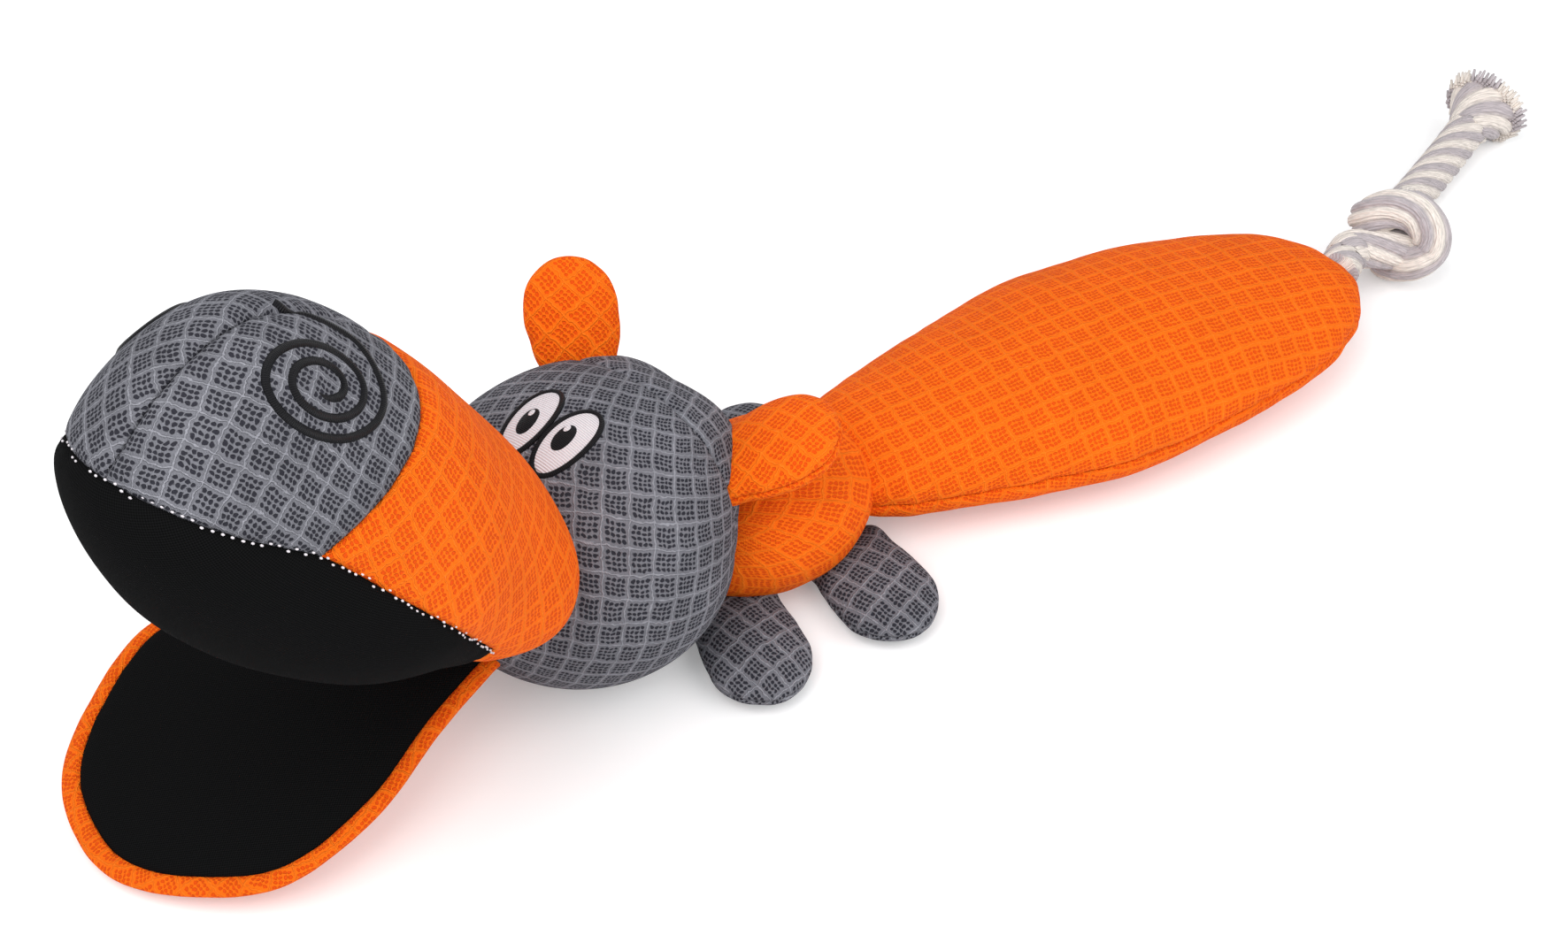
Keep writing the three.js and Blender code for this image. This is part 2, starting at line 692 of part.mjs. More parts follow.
function addRope() {
  addPiece(tailPlace, 'rope_neck', neckTube(0).add(neckBall(0)), cotton);
  const line = knotLine();
  const gap = knotGap(line);
  console.log(`knot gap ${gap.toFixed(2)} mm, at least ${knotLeastGap} mm`);
  addPiece(tailPlace, 'rope_knot', cordAlong(line, knotCord, knotSides, knotSteps), cotton);
  const end = cordAlong(routeThrough(ropeEnd), ropeDiameter, ropeSides, ropeEndSteps);
  addPiece(tailPlace, 'rope_end', end, cotton);
  const [before, last] = ropeEnd.slice(-2).map((point) => new THREE.Vector3(...point));
  const way = last.clone().sub(before).normalize();
  const flare = new THREE.CylinderGeometry(
    (frayFlareShare * ropeDiameter) / 2,
    ropeDiameter / 2,
    frayLength,
    ropeSides,
  ).rotateX(Math.PI / 2).translate(0, 0, frayLength / 2 + seamGap);
  flare.applyQuaternion(new THREE.Quaternion().setFromUnitVectors(upward, way));
  addPiece(tailPlace, 'rope_fray', solidOf(flare.translate(...last)), cotton);
}

addRope();

export default toy;
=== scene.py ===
import math

import bmesh
import bpy
from mathutils import Matrix, Vector, noise
from mathutils.bvhtree import BVHTree
from mathutils.kdtree import KDTree


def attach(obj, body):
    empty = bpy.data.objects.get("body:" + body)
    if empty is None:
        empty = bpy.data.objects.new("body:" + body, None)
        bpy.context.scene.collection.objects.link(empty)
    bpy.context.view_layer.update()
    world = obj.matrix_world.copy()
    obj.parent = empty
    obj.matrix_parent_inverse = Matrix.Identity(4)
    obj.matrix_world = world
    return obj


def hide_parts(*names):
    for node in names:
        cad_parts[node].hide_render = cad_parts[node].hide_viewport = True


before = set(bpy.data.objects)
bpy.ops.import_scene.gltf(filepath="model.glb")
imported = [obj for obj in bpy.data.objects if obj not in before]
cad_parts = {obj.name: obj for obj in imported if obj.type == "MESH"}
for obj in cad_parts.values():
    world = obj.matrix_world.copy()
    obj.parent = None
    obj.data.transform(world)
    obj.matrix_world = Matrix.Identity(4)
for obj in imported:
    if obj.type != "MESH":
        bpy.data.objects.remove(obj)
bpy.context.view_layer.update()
scene = bpy.context.scene
scene.view_settings.view_transform = "Standard"

MM = 0.001
ROW = Matrix.Diagonal((MM, MM, MM, 1))
FLOOR_GAP = 0.4
ALONG = Vector((1, 0, 0))
ACROSS = Vector((0, 1, 0))
UP = Vector((0, 0, 1))

# ---- Camera, floor and light ----

VIEW = Vector((-0.3642, -0.6061, -0.7071))
EYE = Vector((0.1811, 0.3986, 0.495))


def facing(place, way):
    return Matrix.Translation(place) @ way.to_track_quat("-Z", "Y").to_matrix().to_4x4()


def add_camera():
    data = bpy.data.cameras.new("camera")
    data.lens = 59.02
    data.sensor_width = 36
    data.clip_start = 0.01
    camera = bpy.data.objects.new("camera", data)
    camera.matrix_world = facing(EYE, VIEW)
    scene.collection.objects.link(camera)
    scene.camera = camera


def add_lamp(name, place, target, size, power):
    data = bpy.data.lights.new(name, "AREA")
    data.shape = "DISK"
    data.size = size
    data.energy = power
    lamp = bpy.data.objects.new(name, data)
    lamp.matrix_world = facing(place, Vector(target) - Vector(place))
    scene.collection.objects.link(lamp)


# One where the camera sees a thing itself, in a gloss or through something clear.
def seen_directly(tree):
    path = tree.nodes.new("ShaderNodeLightPath")
    share = path.outputs["Is Camera Ray"]
    for name in ("Is Glossy Ray", "Is Transmission Ray"):
        most = tree.nodes.new("ShaderNodeMath")
        most.operation = "MAXIMUM"
        tree.links.new(share, most.inputs[0])
        tree.links.new(path.outputs[name], most.inputs[1])
        share = most.outputs[0]
    return share


def add_world():
    world = bpy.data.worlds.new("studio")
    world.use_nodes = True
    scene.world = world
    nodes, links = world.node_tree.nodes, world.node_tree.links
    nodes.clear()
    shown = nodes.new("ShaderNodeBackground")
    shown.inputs["Color"].default_value = (1, 1, 1, 1)
    lit = nodes.new("ShaderNodeBackground")
    lit.inputs["Color"].default_value = (0.96, 0.98, 1, 1)
    lit.inputs["Strength"].default_value = 0.62
    mix = nodes.new("ShaderNodeMixShader")
    out = nodes.new("ShaderNodeOutputWorld")
    links.new(seen_directly(world.node_tree), mix.inputs[0])
    links.new(lit.outputs[0], mix.inputs[1])
    links.new(shown.outputs[0], mix.inputs[2])
    links.new(mix.outputs[0], out.inputs["Surface"])


def add_floor():
    mesh = bmesh.new()
    bmesh.ops.create_grid(mesh, x_segments=1, y_segments=1, size=6)
    data = bpy.data.meshes.new("floor")
    mesh.to_mesh(data)
    mesh.free()
    floor = bpy.data.objects.new("floor", data)
    scene.collection.objects.link(floor)
    material = bpy.data.materials.new("pale_floor")
    material.use_nodes = True
    nodes, links = material.node_tree.nodes, material.node_tree.links
    nodes.clear()
    matt = nodes.new("ShaderNodeBsdfDiffuse")
    matt.inputs["Color"].default_value = (0.9, 0.9, 0.9, 1)
    glow = nodes.new("ShaderNodeEmission")
    lift = nodes.new("ShaderNodeMath")
    lift.operation = "MULTIPLY"
    lift.inputs[1].default_value = 0.22
    add = nodes.new("ShaderNodeAddShader")
    out = nodes.new("ShaderNodeOutputMaterial")
    links.new(seen_directly(material.node_tree), lift.inputs[0])
    links.new(lift.outputs[0], glow.inputs["Strength"])
    links.new(matt.outputs[0], add.inputs[0])
    links.new(glow.outputs[0], add.inputs[1])
    links.new(add.outputs[0], out.inputs["Surface"])
    data.materials.append(material)


add_camera()
add_world()
add_floor()
add_lamp("key_lamp", (0.55, 0.25, 1.15), (-0.05, 0, 0.03), 0.9, 9.0)
add_lamp("fill_lamp", (-0.5, 0.9, 0.9), (-0.1, 0, 0.03), 1.2, 7.0)

# ---- Materials ----


def feed(tree, socket, value):
    if isinstance(value, bpy.types.NodeSocket):
        tree.links.new(value, socket)
    else:
        socket.default_value = value


def calc(tree, operation, *values):
    node = tree.nodes.new("ShaderNodeMath")
    node.operation = operation
    for socket, value in zip(node.inputs, values):
        feed(tree, socket, value)
    return node.outputs[0]


def turn_vector(tree, operation, *values):
    node = tree.nodes.new("ShaderNodeVectorMath")
    node.operation = operation
    for socket, value in zip(node.inputs, values):
        feed(tree, socket, value)
    return node.outputs[0]


# A sum of values, each taken as many times as its share says.
def weigh(tree, *terms):
    total = 0.0
    for value, share in terms:
        total = calc(tree, "ADD", total, calc(tree, "MULTIPLY", value, share))
    return total


# Runs smoothly from start to end as a value goes from low to high.
def ease(tree, value, low, high, start=0.0, end=1.0):
    node = tree.nodes.new("ShaderNodeMapRange")
    node.interpolation_type = "SMOOTHSTEP"
    ends = {"From Min": low, "From Max": high, "To Min": start, "To Max": end}
    for name, number in ends.items():
        node.inputs[name].default_value = number
    feed(tree, node.inputs["Value"], value)
    return node.outputs[0]


def split_axes(tree, vector):
    node = tree.nodes.new("ShaderNodeSeparateXYZ")
    feed(tree, node.inputs[0], vector)
    return node.outputs


def cloudy(tree, vector, scale, detail=2.0):
    node = tree.nodes.new("ShaderNodeTexNoise")
    node.inputs["Scale"].default_value = scale
    node.inputs["Detail"].default_value = detail
    feed(tree, node.inputs["Vector"], vector)
    return node


def blend_colour(tree, share, first, second):
    node = tree.nodes.new("ShaderNodeMix")
    node.data_type = "RGBA"
    feed(tree, node.inputs[0], share)
    feed(tree, node.inputs[6], first)
    feed(tree, node.inputs[7], second)
    return node.outputs[2]


def shade_colour(tree, colour, shade):
    node = tree.nodes.new("ShaderNodeVectorMath")
    node.operation = "SCALE"
    feed(tree, node.inputs[0], colour)
    feed(tree, node.inputs["Scale"], shade)
    return node.outputs[0]


def new_group(name, inputs, outputs):
    group = bpy.data.node_groups.new(name, "ShaderNodeTree")
    for label, kind in inputs:
        group.interface.new_socket(name=label, in_out="INPUT", socket_type=kind)
    for label, kind in outputs:
        group.interface.new_socket(name=label, in_out="OUTPUT", socket_type=kind)
    entry = group.nodes.new("NodeGroupInput")
    leave = group.nodes.new("NodeGroupOutput")
    return group, entry.outputs, leave.inputs


def place_group(tree, group, **values):
    node = tree.nodes.new("ShaderNodeGroup")
    node.node_tree = group
    for name, value in values.items():
        feed(tree, node.inputs[name], value)
    return node.outputs


# Mesh cloth. Its cells are in millimetres, all else in shares of a cell or of a hole's room.
CELL = 6.0
HOLES = 5
HOLE_WIDTHS = (0.42, 0.37)
HOLE_EDGE = (0.55, 1.25)
BAND_EDGE = (0.012, 0.054)
BORDER_EDGE = (0.07, 0.09)
WANDER = 0.34
JITTER = 0.17
SLANTS = (0.13, 0.09)


# Mesh cloth on a place in millimetres: cells of four by four holes between raised smooth bands.
def mesh_cloth_group():
    group, entry, leave = new_group(
        "mesh_cloth",
        [("Place", "NodeSocketVector")],
        [
            ("Hole", "NodeSocketFloat"),
            ("Band", "NodeSocketFloat"),
            ("Tone", "NodeSocketFloat"),
            ("Height", "NodeSocketFloat"),
        ],
    )
    cells = turn_vector(group, "DIVIDE", entry[0], (CELL, CELL, CELL))
    wander = cloudy(group, entry[0], 0.09, 1.0).outputs["Color"]
    wander = turn_vector(group, "SUBTRACT", wander, (0.5, 0.5, 0.5))
    wander = turn_vector(group, "MULTIPLY", wander, (WANDER, WANDER, 0))
    cells = turn_vector(group, "ADD", cells, wander)
    jitter = cloudy(group, entry[0], 0.8, 1.0).outputs["Color"]
    jitter = turn_vector(group, "SUBTRACT", jitter, (0.5, 0.5, 0.5))
    jitter = turn_vector(group, "MULTIPLY", jitter, (JITTER, JITTER, 0))
    cells = turn_vector(group, "ADD", cells, jitter)
    flat = split_axes(group, cells)
    steps = group.nodes.new("ShaderNodeCombineXYZ")
    for socket, other, slant in zip(steps.inputs, (flat[1], flat[0]), SLANTS):
        feed(group, socket, calc(group, "MULTIPLY", calc(group, "PINGPONG", other, 0.5), slant))
    cells = turn_vector(group, "ADD", cells, steps.outputs[0])
    bands, borders, holes = [], [], []
    for across, wide in zip(split_axes(group, cells), HOLE_WIDTHS):
        near = calc(group, "PINGPONG", across, 0.5)
        bands.append(ease(group, near, *BAND_EDGE, 1.0, 0.0))
        borders.append(ease(group, near, *BORDER_EDGE, 1.0, 0.0))
        hole = calc(group, "PINGPONG", calc(group, "MULTIPLY", across, float(HOLES)), 0.5)
        holes.append(calc(group, "POWER", calc(group, "DIVIDE", hole, wide), 2.0))
    band = calc(group, "MAXIMUM", *bands)
    border = calc(group, "MAXIMUM", *borders)
    hole = ease(group, calc(group, "ADD", *holes), *HOLE_EDGE, 1.0, 0.0)
    hole = calc(group, "MULTIPLY", hole, calc(group, "SUBTRACT", 1.0, border))
    axes = split_axes(group, entry[0])
    slant = calc(group, "ADD", axes[0], axes[1])
    stitch = calc(group, "SINE", calc(group, "MULTIPLY", slant, 9.5))
    fibre = cloudy(group, entry[0], 3.5, 3.0).outputs["Fac"]
    tone = cloudy(group, entry[0], 0.05, 2.0).outputs["Fac"]
    height = weigh(group, (band, 0.9), (hole, -0.8), (stitch, 0.1), (fibre, 0.6))
    tone = weigh(group, (tone, 0.6), (fibre, 0.4))
    for socket, value in zip(leave, (hole, band, tone, height)):
        feed(group, socket, value)
    return group


def new_finish(name, roughness, sheen=0.0):
    material = bpy.data.materials.new(name)
    material.use_nodes = True
    tree = material.node_tree
    shader = tree.nodes["Principled BSDF"]
    shader.inputs["Roughness"].default_value = roughness
    shader.inputs["Specular IOR Level"].default_value = 0.12
    if sheen:
        shader.inputs["Sheen Weight"].default_value = sheen
        shader.inputs["Sheen Roughness"].default_value = 0.5
    return material, tree, shader


def raise_surface(tree, shader, height, distance, strength=1.0):
    bump = tree.nodes.new("ShaderNodeBump")
    bump.inputs["Distance"].default_value = distance
    bump.inputs["Strength"].default_value = strength
    feed(tree, bump.inputs["Height"], height)
    tree.links.new(bump.outputs[0], shader.inputs["Normal"])


def cloth_place(tree):
    return tree.nodes.new("ShaderNodeUVMap").outputs[0]


def cloth_finish(name, base, lit_ridge, hole, roughness, relief, shades):
    material, tree, shader = new_finish(name, roughness)
    cloth = place_group(tree, MESH_CLOTH, Place=cloth_place(tree))
    # Painted light and shade: the raised bands get a lighter copy of the base colour. The holes get
    # a darker colour, which is painted shade in the holes over the colour of the backing seen
    # through them.
    colour = blend_colour(tree, cloth["Band"], base, lit_ridge)
    colour = blend_colour(tree, cloth["Hole"], colour, hole)
    colour = shade_colour(tree, colour, ease(tree, cloth["Tone"], 0.3, 0.7, *shades))
    tree.links.new(colour, shader.inputs["Base Color"])
    raise_surface(tree, shader, cloth["Height"], relief)
    return material


# Smooth knitted lining: fine ribs that only just show.
def lining_finish():
    material, tree, shader = new_finish("black_lining", 1.0)
    shader.inputs["Specular IOR Level"].default_value = 0.03
    axes = split_axes(tree, cloth_place(tree))
    ribs = calc(tree, "SINE", calc(tree, "MULTIPLY", axes[0], 7.0))
    rows = calc(tree, "SINE", calc(tree, "MULTIPLY", axes[1], 9.0))
    weave = calc(tree, "MULTIPLY", ribs, rows)
    # The colour follows the rib wave of the bump: a little lighter on the crowns and darker between
    # them, which is painted light and shade.
    share = ease(tree, weave, -1.0, 1.0)
    colour = blend_colour(tree, share, (0.003, 0.003, 0.0031, 1), (0.008, 0.008, 0.0083, 1))
    tree.links.new(colour, shader.inputs["Base Color"])
    raise_surface(tree, shader, weave, 0.00008)
    return material


# Satin stitching: threads side by side across a cord or a patch.
def thread_finish(name, dark, light, roughness, pitch):
    material, tree, shader = new_finish(name, roughness)
    along = split_axes(tree, cloth_place(tree))[0]
    stitch = calc(tree, "SINE", calc(tree, "MULTIPLY", along, 2 * math.pi / pitch))
    uneven = cloudy(tree, cloth_place(tree), 1.3, 2.0).outputs["Fac"]
    # The colour follows the stitch wave of the bump: light on the threads' crowns and dark in the
    # grooves between them, which is painted light and shade. A random unevenness of tone lies on
    # top.
    share = ease(tree, calc(tree, "ADD", stitch, uneven), -0.9, 0.9)
    colour = blend_colour(tree, share, dark, light)
    tree.links.new(colour, shader.inputs["Base Color"])
    raise_surface(tree, shader, stitch, 0.0001)
    return material


STRANDS = 8
YARNS = 4


# Twisted cotton: strands in two colours by turns, each of fine yarns that run along it.
def cotton_finish():
    material, tree, shader = new_finish("cotton", 0.95, 0.2)
    place = cloth_place(tree)
    axes = split_axes(tree, place)
    strand = calc(tree, "MULTIPLY", axes[1], float(STRANDS))
    side = calc(tree, "PINGPONG", calc(tree, "ADD", strand, 0.5), 1.0)
    share = ease(tree, side, 0.3, 0.7)
    yarn = calc(tree, "SINE", calc(tree, "MULTIPLY", axes[1], 2 * math.pi * STRANDS * YARNS))
    stretched = turn_vector(tree, "MULTIPLY", place, (0.5, 90.0, 1.0))
    fibre = cloudy(tree, stretched, 1.0, 3.0).outputs["Fac"]
    colour = blend_colour(tree, share, (0.86, 0.78, 0.71, 1), (0.52, 0.465, 0.48, 1))
    # The fibres vary the tone at random. The yarn wave of the bump adds faint painted light on the
    # yarns' crowns and painted shade in the grooves between them.
    shade = weigh(tree, (ease(tree, fibre, 0.3, 0.7, 0.78, 1.12), 1.0), (yarn, 0.03))
    tree.links.new(shade_colour(tree, colour, shade), shader.inputs["Base Color"])
    height = calc(tree, "ADD", calc(tree, "MULTIPLY", yarn, 0.4), fibre)
    raise_surface(tree, shader, height, 0.0003)
    return material


MESH_CLOTH = mesh_cloth_group()
# The ridge colours are lighter copies of the base colours, painted light on the raised bands. The
# hole colours are darker, painted shade in the holes over the backing's colour.
SLOTS = {
    "grey_mesh": cloth_finish(
        "grey_mesh",
        base=(0.18, 0.18, 0.203, 1),
        lit_ridge=(0.31, 0.31, 0.345, 1),
        hole=(0.028, 0.028, 0.037, 1),
        roughness=0.85,
        relief=0.0004,
        shades=(0.84, 1.14),
    ),
    "orange_mesh": cloth_finish(
        "orange_mesh",
        base=(1.0, 0.16, 0.004, 1),
        lit_ridge=(1.0, 0.195, 0.009, 1),
        hole=(0.8, 0.08, 0.002, 1),
        roughness=0.8,
        relief=0.0003,
        shades=(0.95, 1.05),
    ),
    "black_lining": lining_finish(),
    # Each thread's dark colour is painted shade in the grooves between stitches, and its light
    # colour is painted light on their crowns.
    "white_thread": thread_finish(
        "white_thread",
        dark=(0.6, 0.55, 0.58, 1),
        light=(0.82, 0.77, 0.8, 1),
        roughness=0.55,
        pitch=0.6,
    ),
    "black_thread": thread_finish(
        "black_thread",
        dark=(0.002, 0.002, 0.003, 1),
        light=(0.012, 0.012, 0.014, 1),
        roughness=0.4,
        pitch=0.42,
    ),
    "cotton": cotton_finish(),
}

# ---- Shapes ----


def place_in(parent, position, yaw=0.0, pitch=0.0):
    heading = Matrix.Rotation(math.radians(yaw), 4, "Z")
    tilt = Matrix.Rotation(math.radians(-pitch), 4, "Y")
    return parent @ Matrix.Translation(position) @ (heading @ tilt)


# A smooth curve through four evenly spaced values, read between the middle two.
def cubic(a, b, c, d, t):
    slope = c - a
    bend = 2 * a - 5 * b + 4 * c - d
    twist = 3 * (b - c) + d - a
    return (2 * b + slope * t + bend * t * t + twist * t**3) / 2


# A smooth curve through evenly spaced shares, read at a share of the length.
def swell(shares, along):
    last = len(shares) - 1
    start = min(int(along * last), last - 1)
    a, b, c, d = (shares[min(max(start + i, 0), last)] for i in (-1, 0, 1, 2))
    return cubic(a, b, c, d, along * last - start)


# A smooth line through points, sampled at even steps of its length.
def smooth_line(points, step, closed=False):
    points = [Vector(p) for p in points]
    count = len(points)
    spans = count if closed else count - 1
    dense = []
    for i in range(spans):
        if closed:
            around = [points[(i + k) % count] for k in (-1, 0, 1, 2)]
        else:
            around = [points[min(max(i + k, 0), count - 1)] for k in (-1, 0, 1, 2)]
        dense += [cubic(*around, k / 24) for k in range(24)]
    dense.append(points[0] if closed else points[-1])
    return even_steps(dense, step)


def even_steps(dense, step):
    lengths = [0.0]
    for a, b in zip(dense, dense[1:]):
        lengths.append(lengths[-1] + (b - a).length)
    count = max(2, round(lengths[-1] / step))
    line, k = [], 0
    for i in range(count + 1):
        want = lengths[-1] * i / count
        while k < len(lengths) - 2 and lengths[k + 1] < want:
            k += 1
        span = lengths[k + 1] - lengths[k] or 1.0
        line.append(dense[k].lerp(dense[k + 1], min(1.0, (want - lengths[k]) / span)))
    return line


# A round ball whose faces are all about the same size.
def ball(cuts):
    mesh = bmesh.new()
    bmesh.ops.create_cube(mesh, size=2)
    bmesh.ops.subdivide_edges(mesh, edges=mesh.edges[:], cuts=cuts, use_grid_fill=True)
    for vert in mesh.verts:
        x, y, z = vert.co
        vert.co = (
            x * math.sqrt(1 - y * y / 2 - z * z / 2 + y * y * z * z / 3),
            y * math.sqrt(1 - z * z / 2 - x * x / 2 + z * z * x * x / 3),
            z * math.sqrt(1 - x * x / 2 - y * y / 2 + x * x * y * y / 3),
        )
    return mesh


# A stuffed shape along X with round ends, whose rings swell by the share curves.
def stuffed(cuts, length, half_width, above, below, width_shares, above_shares, below_shares):
    mesh = ball(cuts)
    for vert in mesh.verts:
        x, y, z = vert.co
        along = min(1.0, max(0.0, (x + 1) / 2))
        height = above * swell(above_shares, along) if z > 0 else below * swell(below_shares, along)
        vert.co = (length * along, half_width * swell(width_shares, along) * y, height * z)
    return mesh


# A padded shape: a ball pressed flat, whose rim follows an outline with mirrored sides, tip first.
def padded_lobe(cuts, outline_shares, length, half_width, above, below):
    left = [Vector((along * length, across * half_width, 0)) for along, across in outline_shares]
    right = [Vector((p.x, -p.y, 0)) for p in reversed(left[1:])]
    if outline_shares[-1][1] == 0:
        right = right[1:]
    outline = smooth_line(left + right, 0.25, closed=True)[:-1]
    middle = sum(outline, Vector()) / len(outline)
    mesh = ball(cuts)
    for vert in mesh.verts:
        x, y, z = vert.co
        turn = (math.atan2(y, x) / (2 * math.pi)) % 1.0 * len(outline)
        first, second = int(turn) % len(outline), (int(turn) + 1) % len(outline)
        edge = outline[first].lerp(outline[second], turn - int(turn))
        spot = middle.lerp(edge, min(1.0, math.hypot(x, y)))
        vert.co = (spot.x, spot.y, z * (above if z > 0 else below))
    return mesh


def cut_flat(mesh, point, normal):
    everything = mesh.verts[:] + mesh.edges[:] + mesh.faces[:]
    bmesh.ops.bisect_plane(mesh, geom=everything, dist=0.02, plane_co=point, plane_no=normal)


# Cuts a seam and, on both sides of it, the loops that keep its fold crisp.
def cut_seam(mesh, point, normal, sides=(0.0, 0.9, -0.9, 2.4, -2.4)):
    for aside in sides:
        cut_flat(mesh, Vector(point) + Vector(normal).normalized() * aside, normal)


def shear(mesh, lift_at, sign):
    for vert in mesh.verts:
        vert.co.z += sign * lift_at(vert.co.x)


# Says which of two panels a place is on: 0 above a height, 1 below it.
def split_at(height):
    return lambda spot: 0 if spot.z > height else 1


LUMP_SIZE = 26
CREASE_DEPTH = 0.5
CREASE_WIDTH = 0.9


# Numbers the faces by panel, then pulls the cloth in along the seams between the panels, with
# puckers that run across each seam, and lets the stuffing show as soft swellings.
def sew(mesh, panel_of, depth, width, pucker, lumps, seed, wave=5.0):
    mark = mesh.faces.layers.int.new("panel")
    mesh.normal_update()
    for face in mesh.faces:
        face[mark] = panel_of(face.calc_center_median())
    seams = [edge for edge in mesh.edges if len({face[mark] for face in edge.link_faces}) > 1]
    samples = []
    for edge in seams:
        first, second = (vert.co for vert in edge.verts)
        samples += [first.lerp(second, share) for share in (0.0, 0.34, 0.67)]
    tree = KDTree(max(1, len(samples)))
    for i, sample in enumerate(samples):
        tree.insert(sample, i)
    tree.balance()
    shift = Vector((seed * 17.3, seed * 5.1, seed * 9.7))
    normals = {vert: vert.normal.copy() for vert in mesh.verts}
    for vert in mesh.verts:
        lump = lumps * noise.noise((vert.co + shift) / LUMP_SIZE)
        sink = 0.0
        if samples:
            seam, _, away = tree.find(vert.co)
            near = max(0.0, 1 - away / width)
            ripple = noise.noise((seam + shift) / wave) * math.exp(-((away / (1.3 * width)) ** 2))
            crease = CREASE_DEPTH * max(0.0, 1 - away / CREASE_WIDTH)
            sink = depth * near * near + pucker * ripple + crease
            lump *= min(1.0, away / (2 * width))
        vert.co += normals[vert] * (lump - sink)
    return mesh


# The closed line of the seam round one panel, from point to point.
def seam_line(mesh, panel):
    mark = mesh.faces.layers.int["panel"]
    onward = {}
    for edge in mesh.edges:
        if {face[mark] == panel for face in edge.link_faces} != {True, False}:
            continue
        for vert in edge.verts:
            onward.setdefault(vert, []).append(edge.other_vert(vert))
    first = min(onward, key=lambda vert: vert.co.x)
    line, last, vert = [first.co.copy()], None, first
    for _ in range(len(onward)):
        ahead = [other for other in onward[vert] if other != last]
        last, vert = vert, ahead[0]
        if vert == first:
            break
        line.append(vert.co.copy())
    return line


# Copies of a sewn shape with one numbered panel in each. The shape itself is used up.
def panels(mesh, count):
    found = []
    for number in range(count):
        part = mesh.copy()
        layer = part.faces.layers.int["panel"]
        spare = [face for face in part.faces if face[layer] != number]
        bmesh.ops.delete(part, geom=spare, context="FACES")
        found.append(part)
    mesh.free()
    return found


def surface_tree(mesh, matrix):
    moved = mesh.copy()
    bmesh.ops.transform(moved, matrix=matrix, verts=moved.verts[:])
    moved.normal_update()
    tree = BVHTree.FromBMesh(moved)
    moved.free()
    return tree


# How deep a point lies inside a closed surface; less than nothing where it is outside.
def depth_in(tree, point):
    spot, normal, _, away = tree.find_nearest(point)
    return away if (point - spot).dot(normal) < 0 else -away


# Takes away the cloth that lies deep inside another part, where nobody sees it.
def trim(mesh, matrix, trees, depth):
    hidden = []
    for face in mesh.faces:
        centre = matrix @ face.calc_center_median()
        if any(depth_in(tree, centre) > depth for tree in trees):
            hidden.append(face)
    bmesh.ops.delete(mesh, geom=hidden, context="FACES")


def new_piece(name, mesh, matrix, finish):
    data = bpy.data.meshes.new(name)
    mesh.to_mesh(data)
    mesh.free()
    data.transform(ROW @ matrix)
    data.materials.append(finish)
    data.shade_smooth()
    piece = bpy.data.objects.new(name, data)
    scene.collection.objects.link(piece)
    return piece


def unwrap(piece):
    bpy.context.view_layer.objects.active = piece
    piece.select_set(True)
    bpy.ops.object.mode_set(mode="EDIT")
    bpy.ops.mesh.select_all(action="SELECT")
    bpy.ops.uv.unwrap(method="MINIMUM_STRETCH", margin=0, iterations=12)
    bpy.ops.object.mode_set(mode="OBJECT")
    piece.select_set(False)


NEAR = 0.025


# Gives the unwrapped cloth its real size in millimetres, with its rows along the grain near one
# place.
def lay_cloth(piece, grain, near):
    mesh = bmesh.new()
    mesh.from_mesh(piece.data)
    layer = mesh.loops.layers.uv.active
    grain, near = Vector(grain), Vector(near) * MM
    real = flat = 0.0
    heading = Vector((0, 0))
    weight_of = {}
    for face in mesh.faces:
        away = (face.calc_center_median() - near).length
        weight_of[face] = math.exp(-((away / NEAR) ** 2))
    for face in mesh.faces:
        a, b, c = face.loops[:3]
        edges = [other.vert.co - a.vert.co for other in (b, c)]
        turned = [other[layer].uv - a[layer].uv for other in (b, c)]
        area = edges[0].cross(edges[1]).length
        real += area * weight_of[face]
        flat += abs(turned[0].cross(turned[1])) * weight_of[face]
        sides = Matrix([[p.dot(q) for q in edges] for p in edges])
        if sides.determinant() < 1e-20:
            continue
        shares = sides.inverted() @ Vector([grain.dot(p) for p in edges])
        heading += (turned[0] * shares[0] + turned[1] * shares[1]) * area * weight_of[face]
    scale = math.sqrt(real / max(flat, 1e-12)) / MM
    turn = Matrix.Rotation(-math.atan2(heading.y, heading.x), 2)
    for face in mesh.faces:
        for loop in face.loops:
            loop[layer].uv = turn @ loop[layer].uv * scale
    mesh.to_mesh(piece.data)
    mesh.free()


def thicken(piece, thickness):
    smooth = piece.modifiers.new("smooth", "SUBSURF")
    smooth.levels = smooth.render_levels = 1
    smooth.uv_smooth = "PRESERVE_BOUNDARIES"
    wall = piece.modifiers.new("wall", "SOLIDIFY")
    wall.thickness = thickness * MM
    wall.offset = -1
    wall.use_even_offset = False


def belong(piece, body, nodes=()):
    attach(piece, body)
    if nodes:
        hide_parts(*nodes)
    return piece


RIGHT_OF_VIEW = VIEW.cross(UP).normalized()
UP_OF_VIEW = RIGHT_OF_VIEW.cross(VIEW).normalized()


# The direction that falls by an angle to the right in the camera's picture.
def falling(angle):
    turn = math.radians(angle)
    return RIGHT_OF_VIEW * math.cos(turn) - UP_OF_VIEW * math.sin(turn)


CLOTH_THICKNESS = 1.3


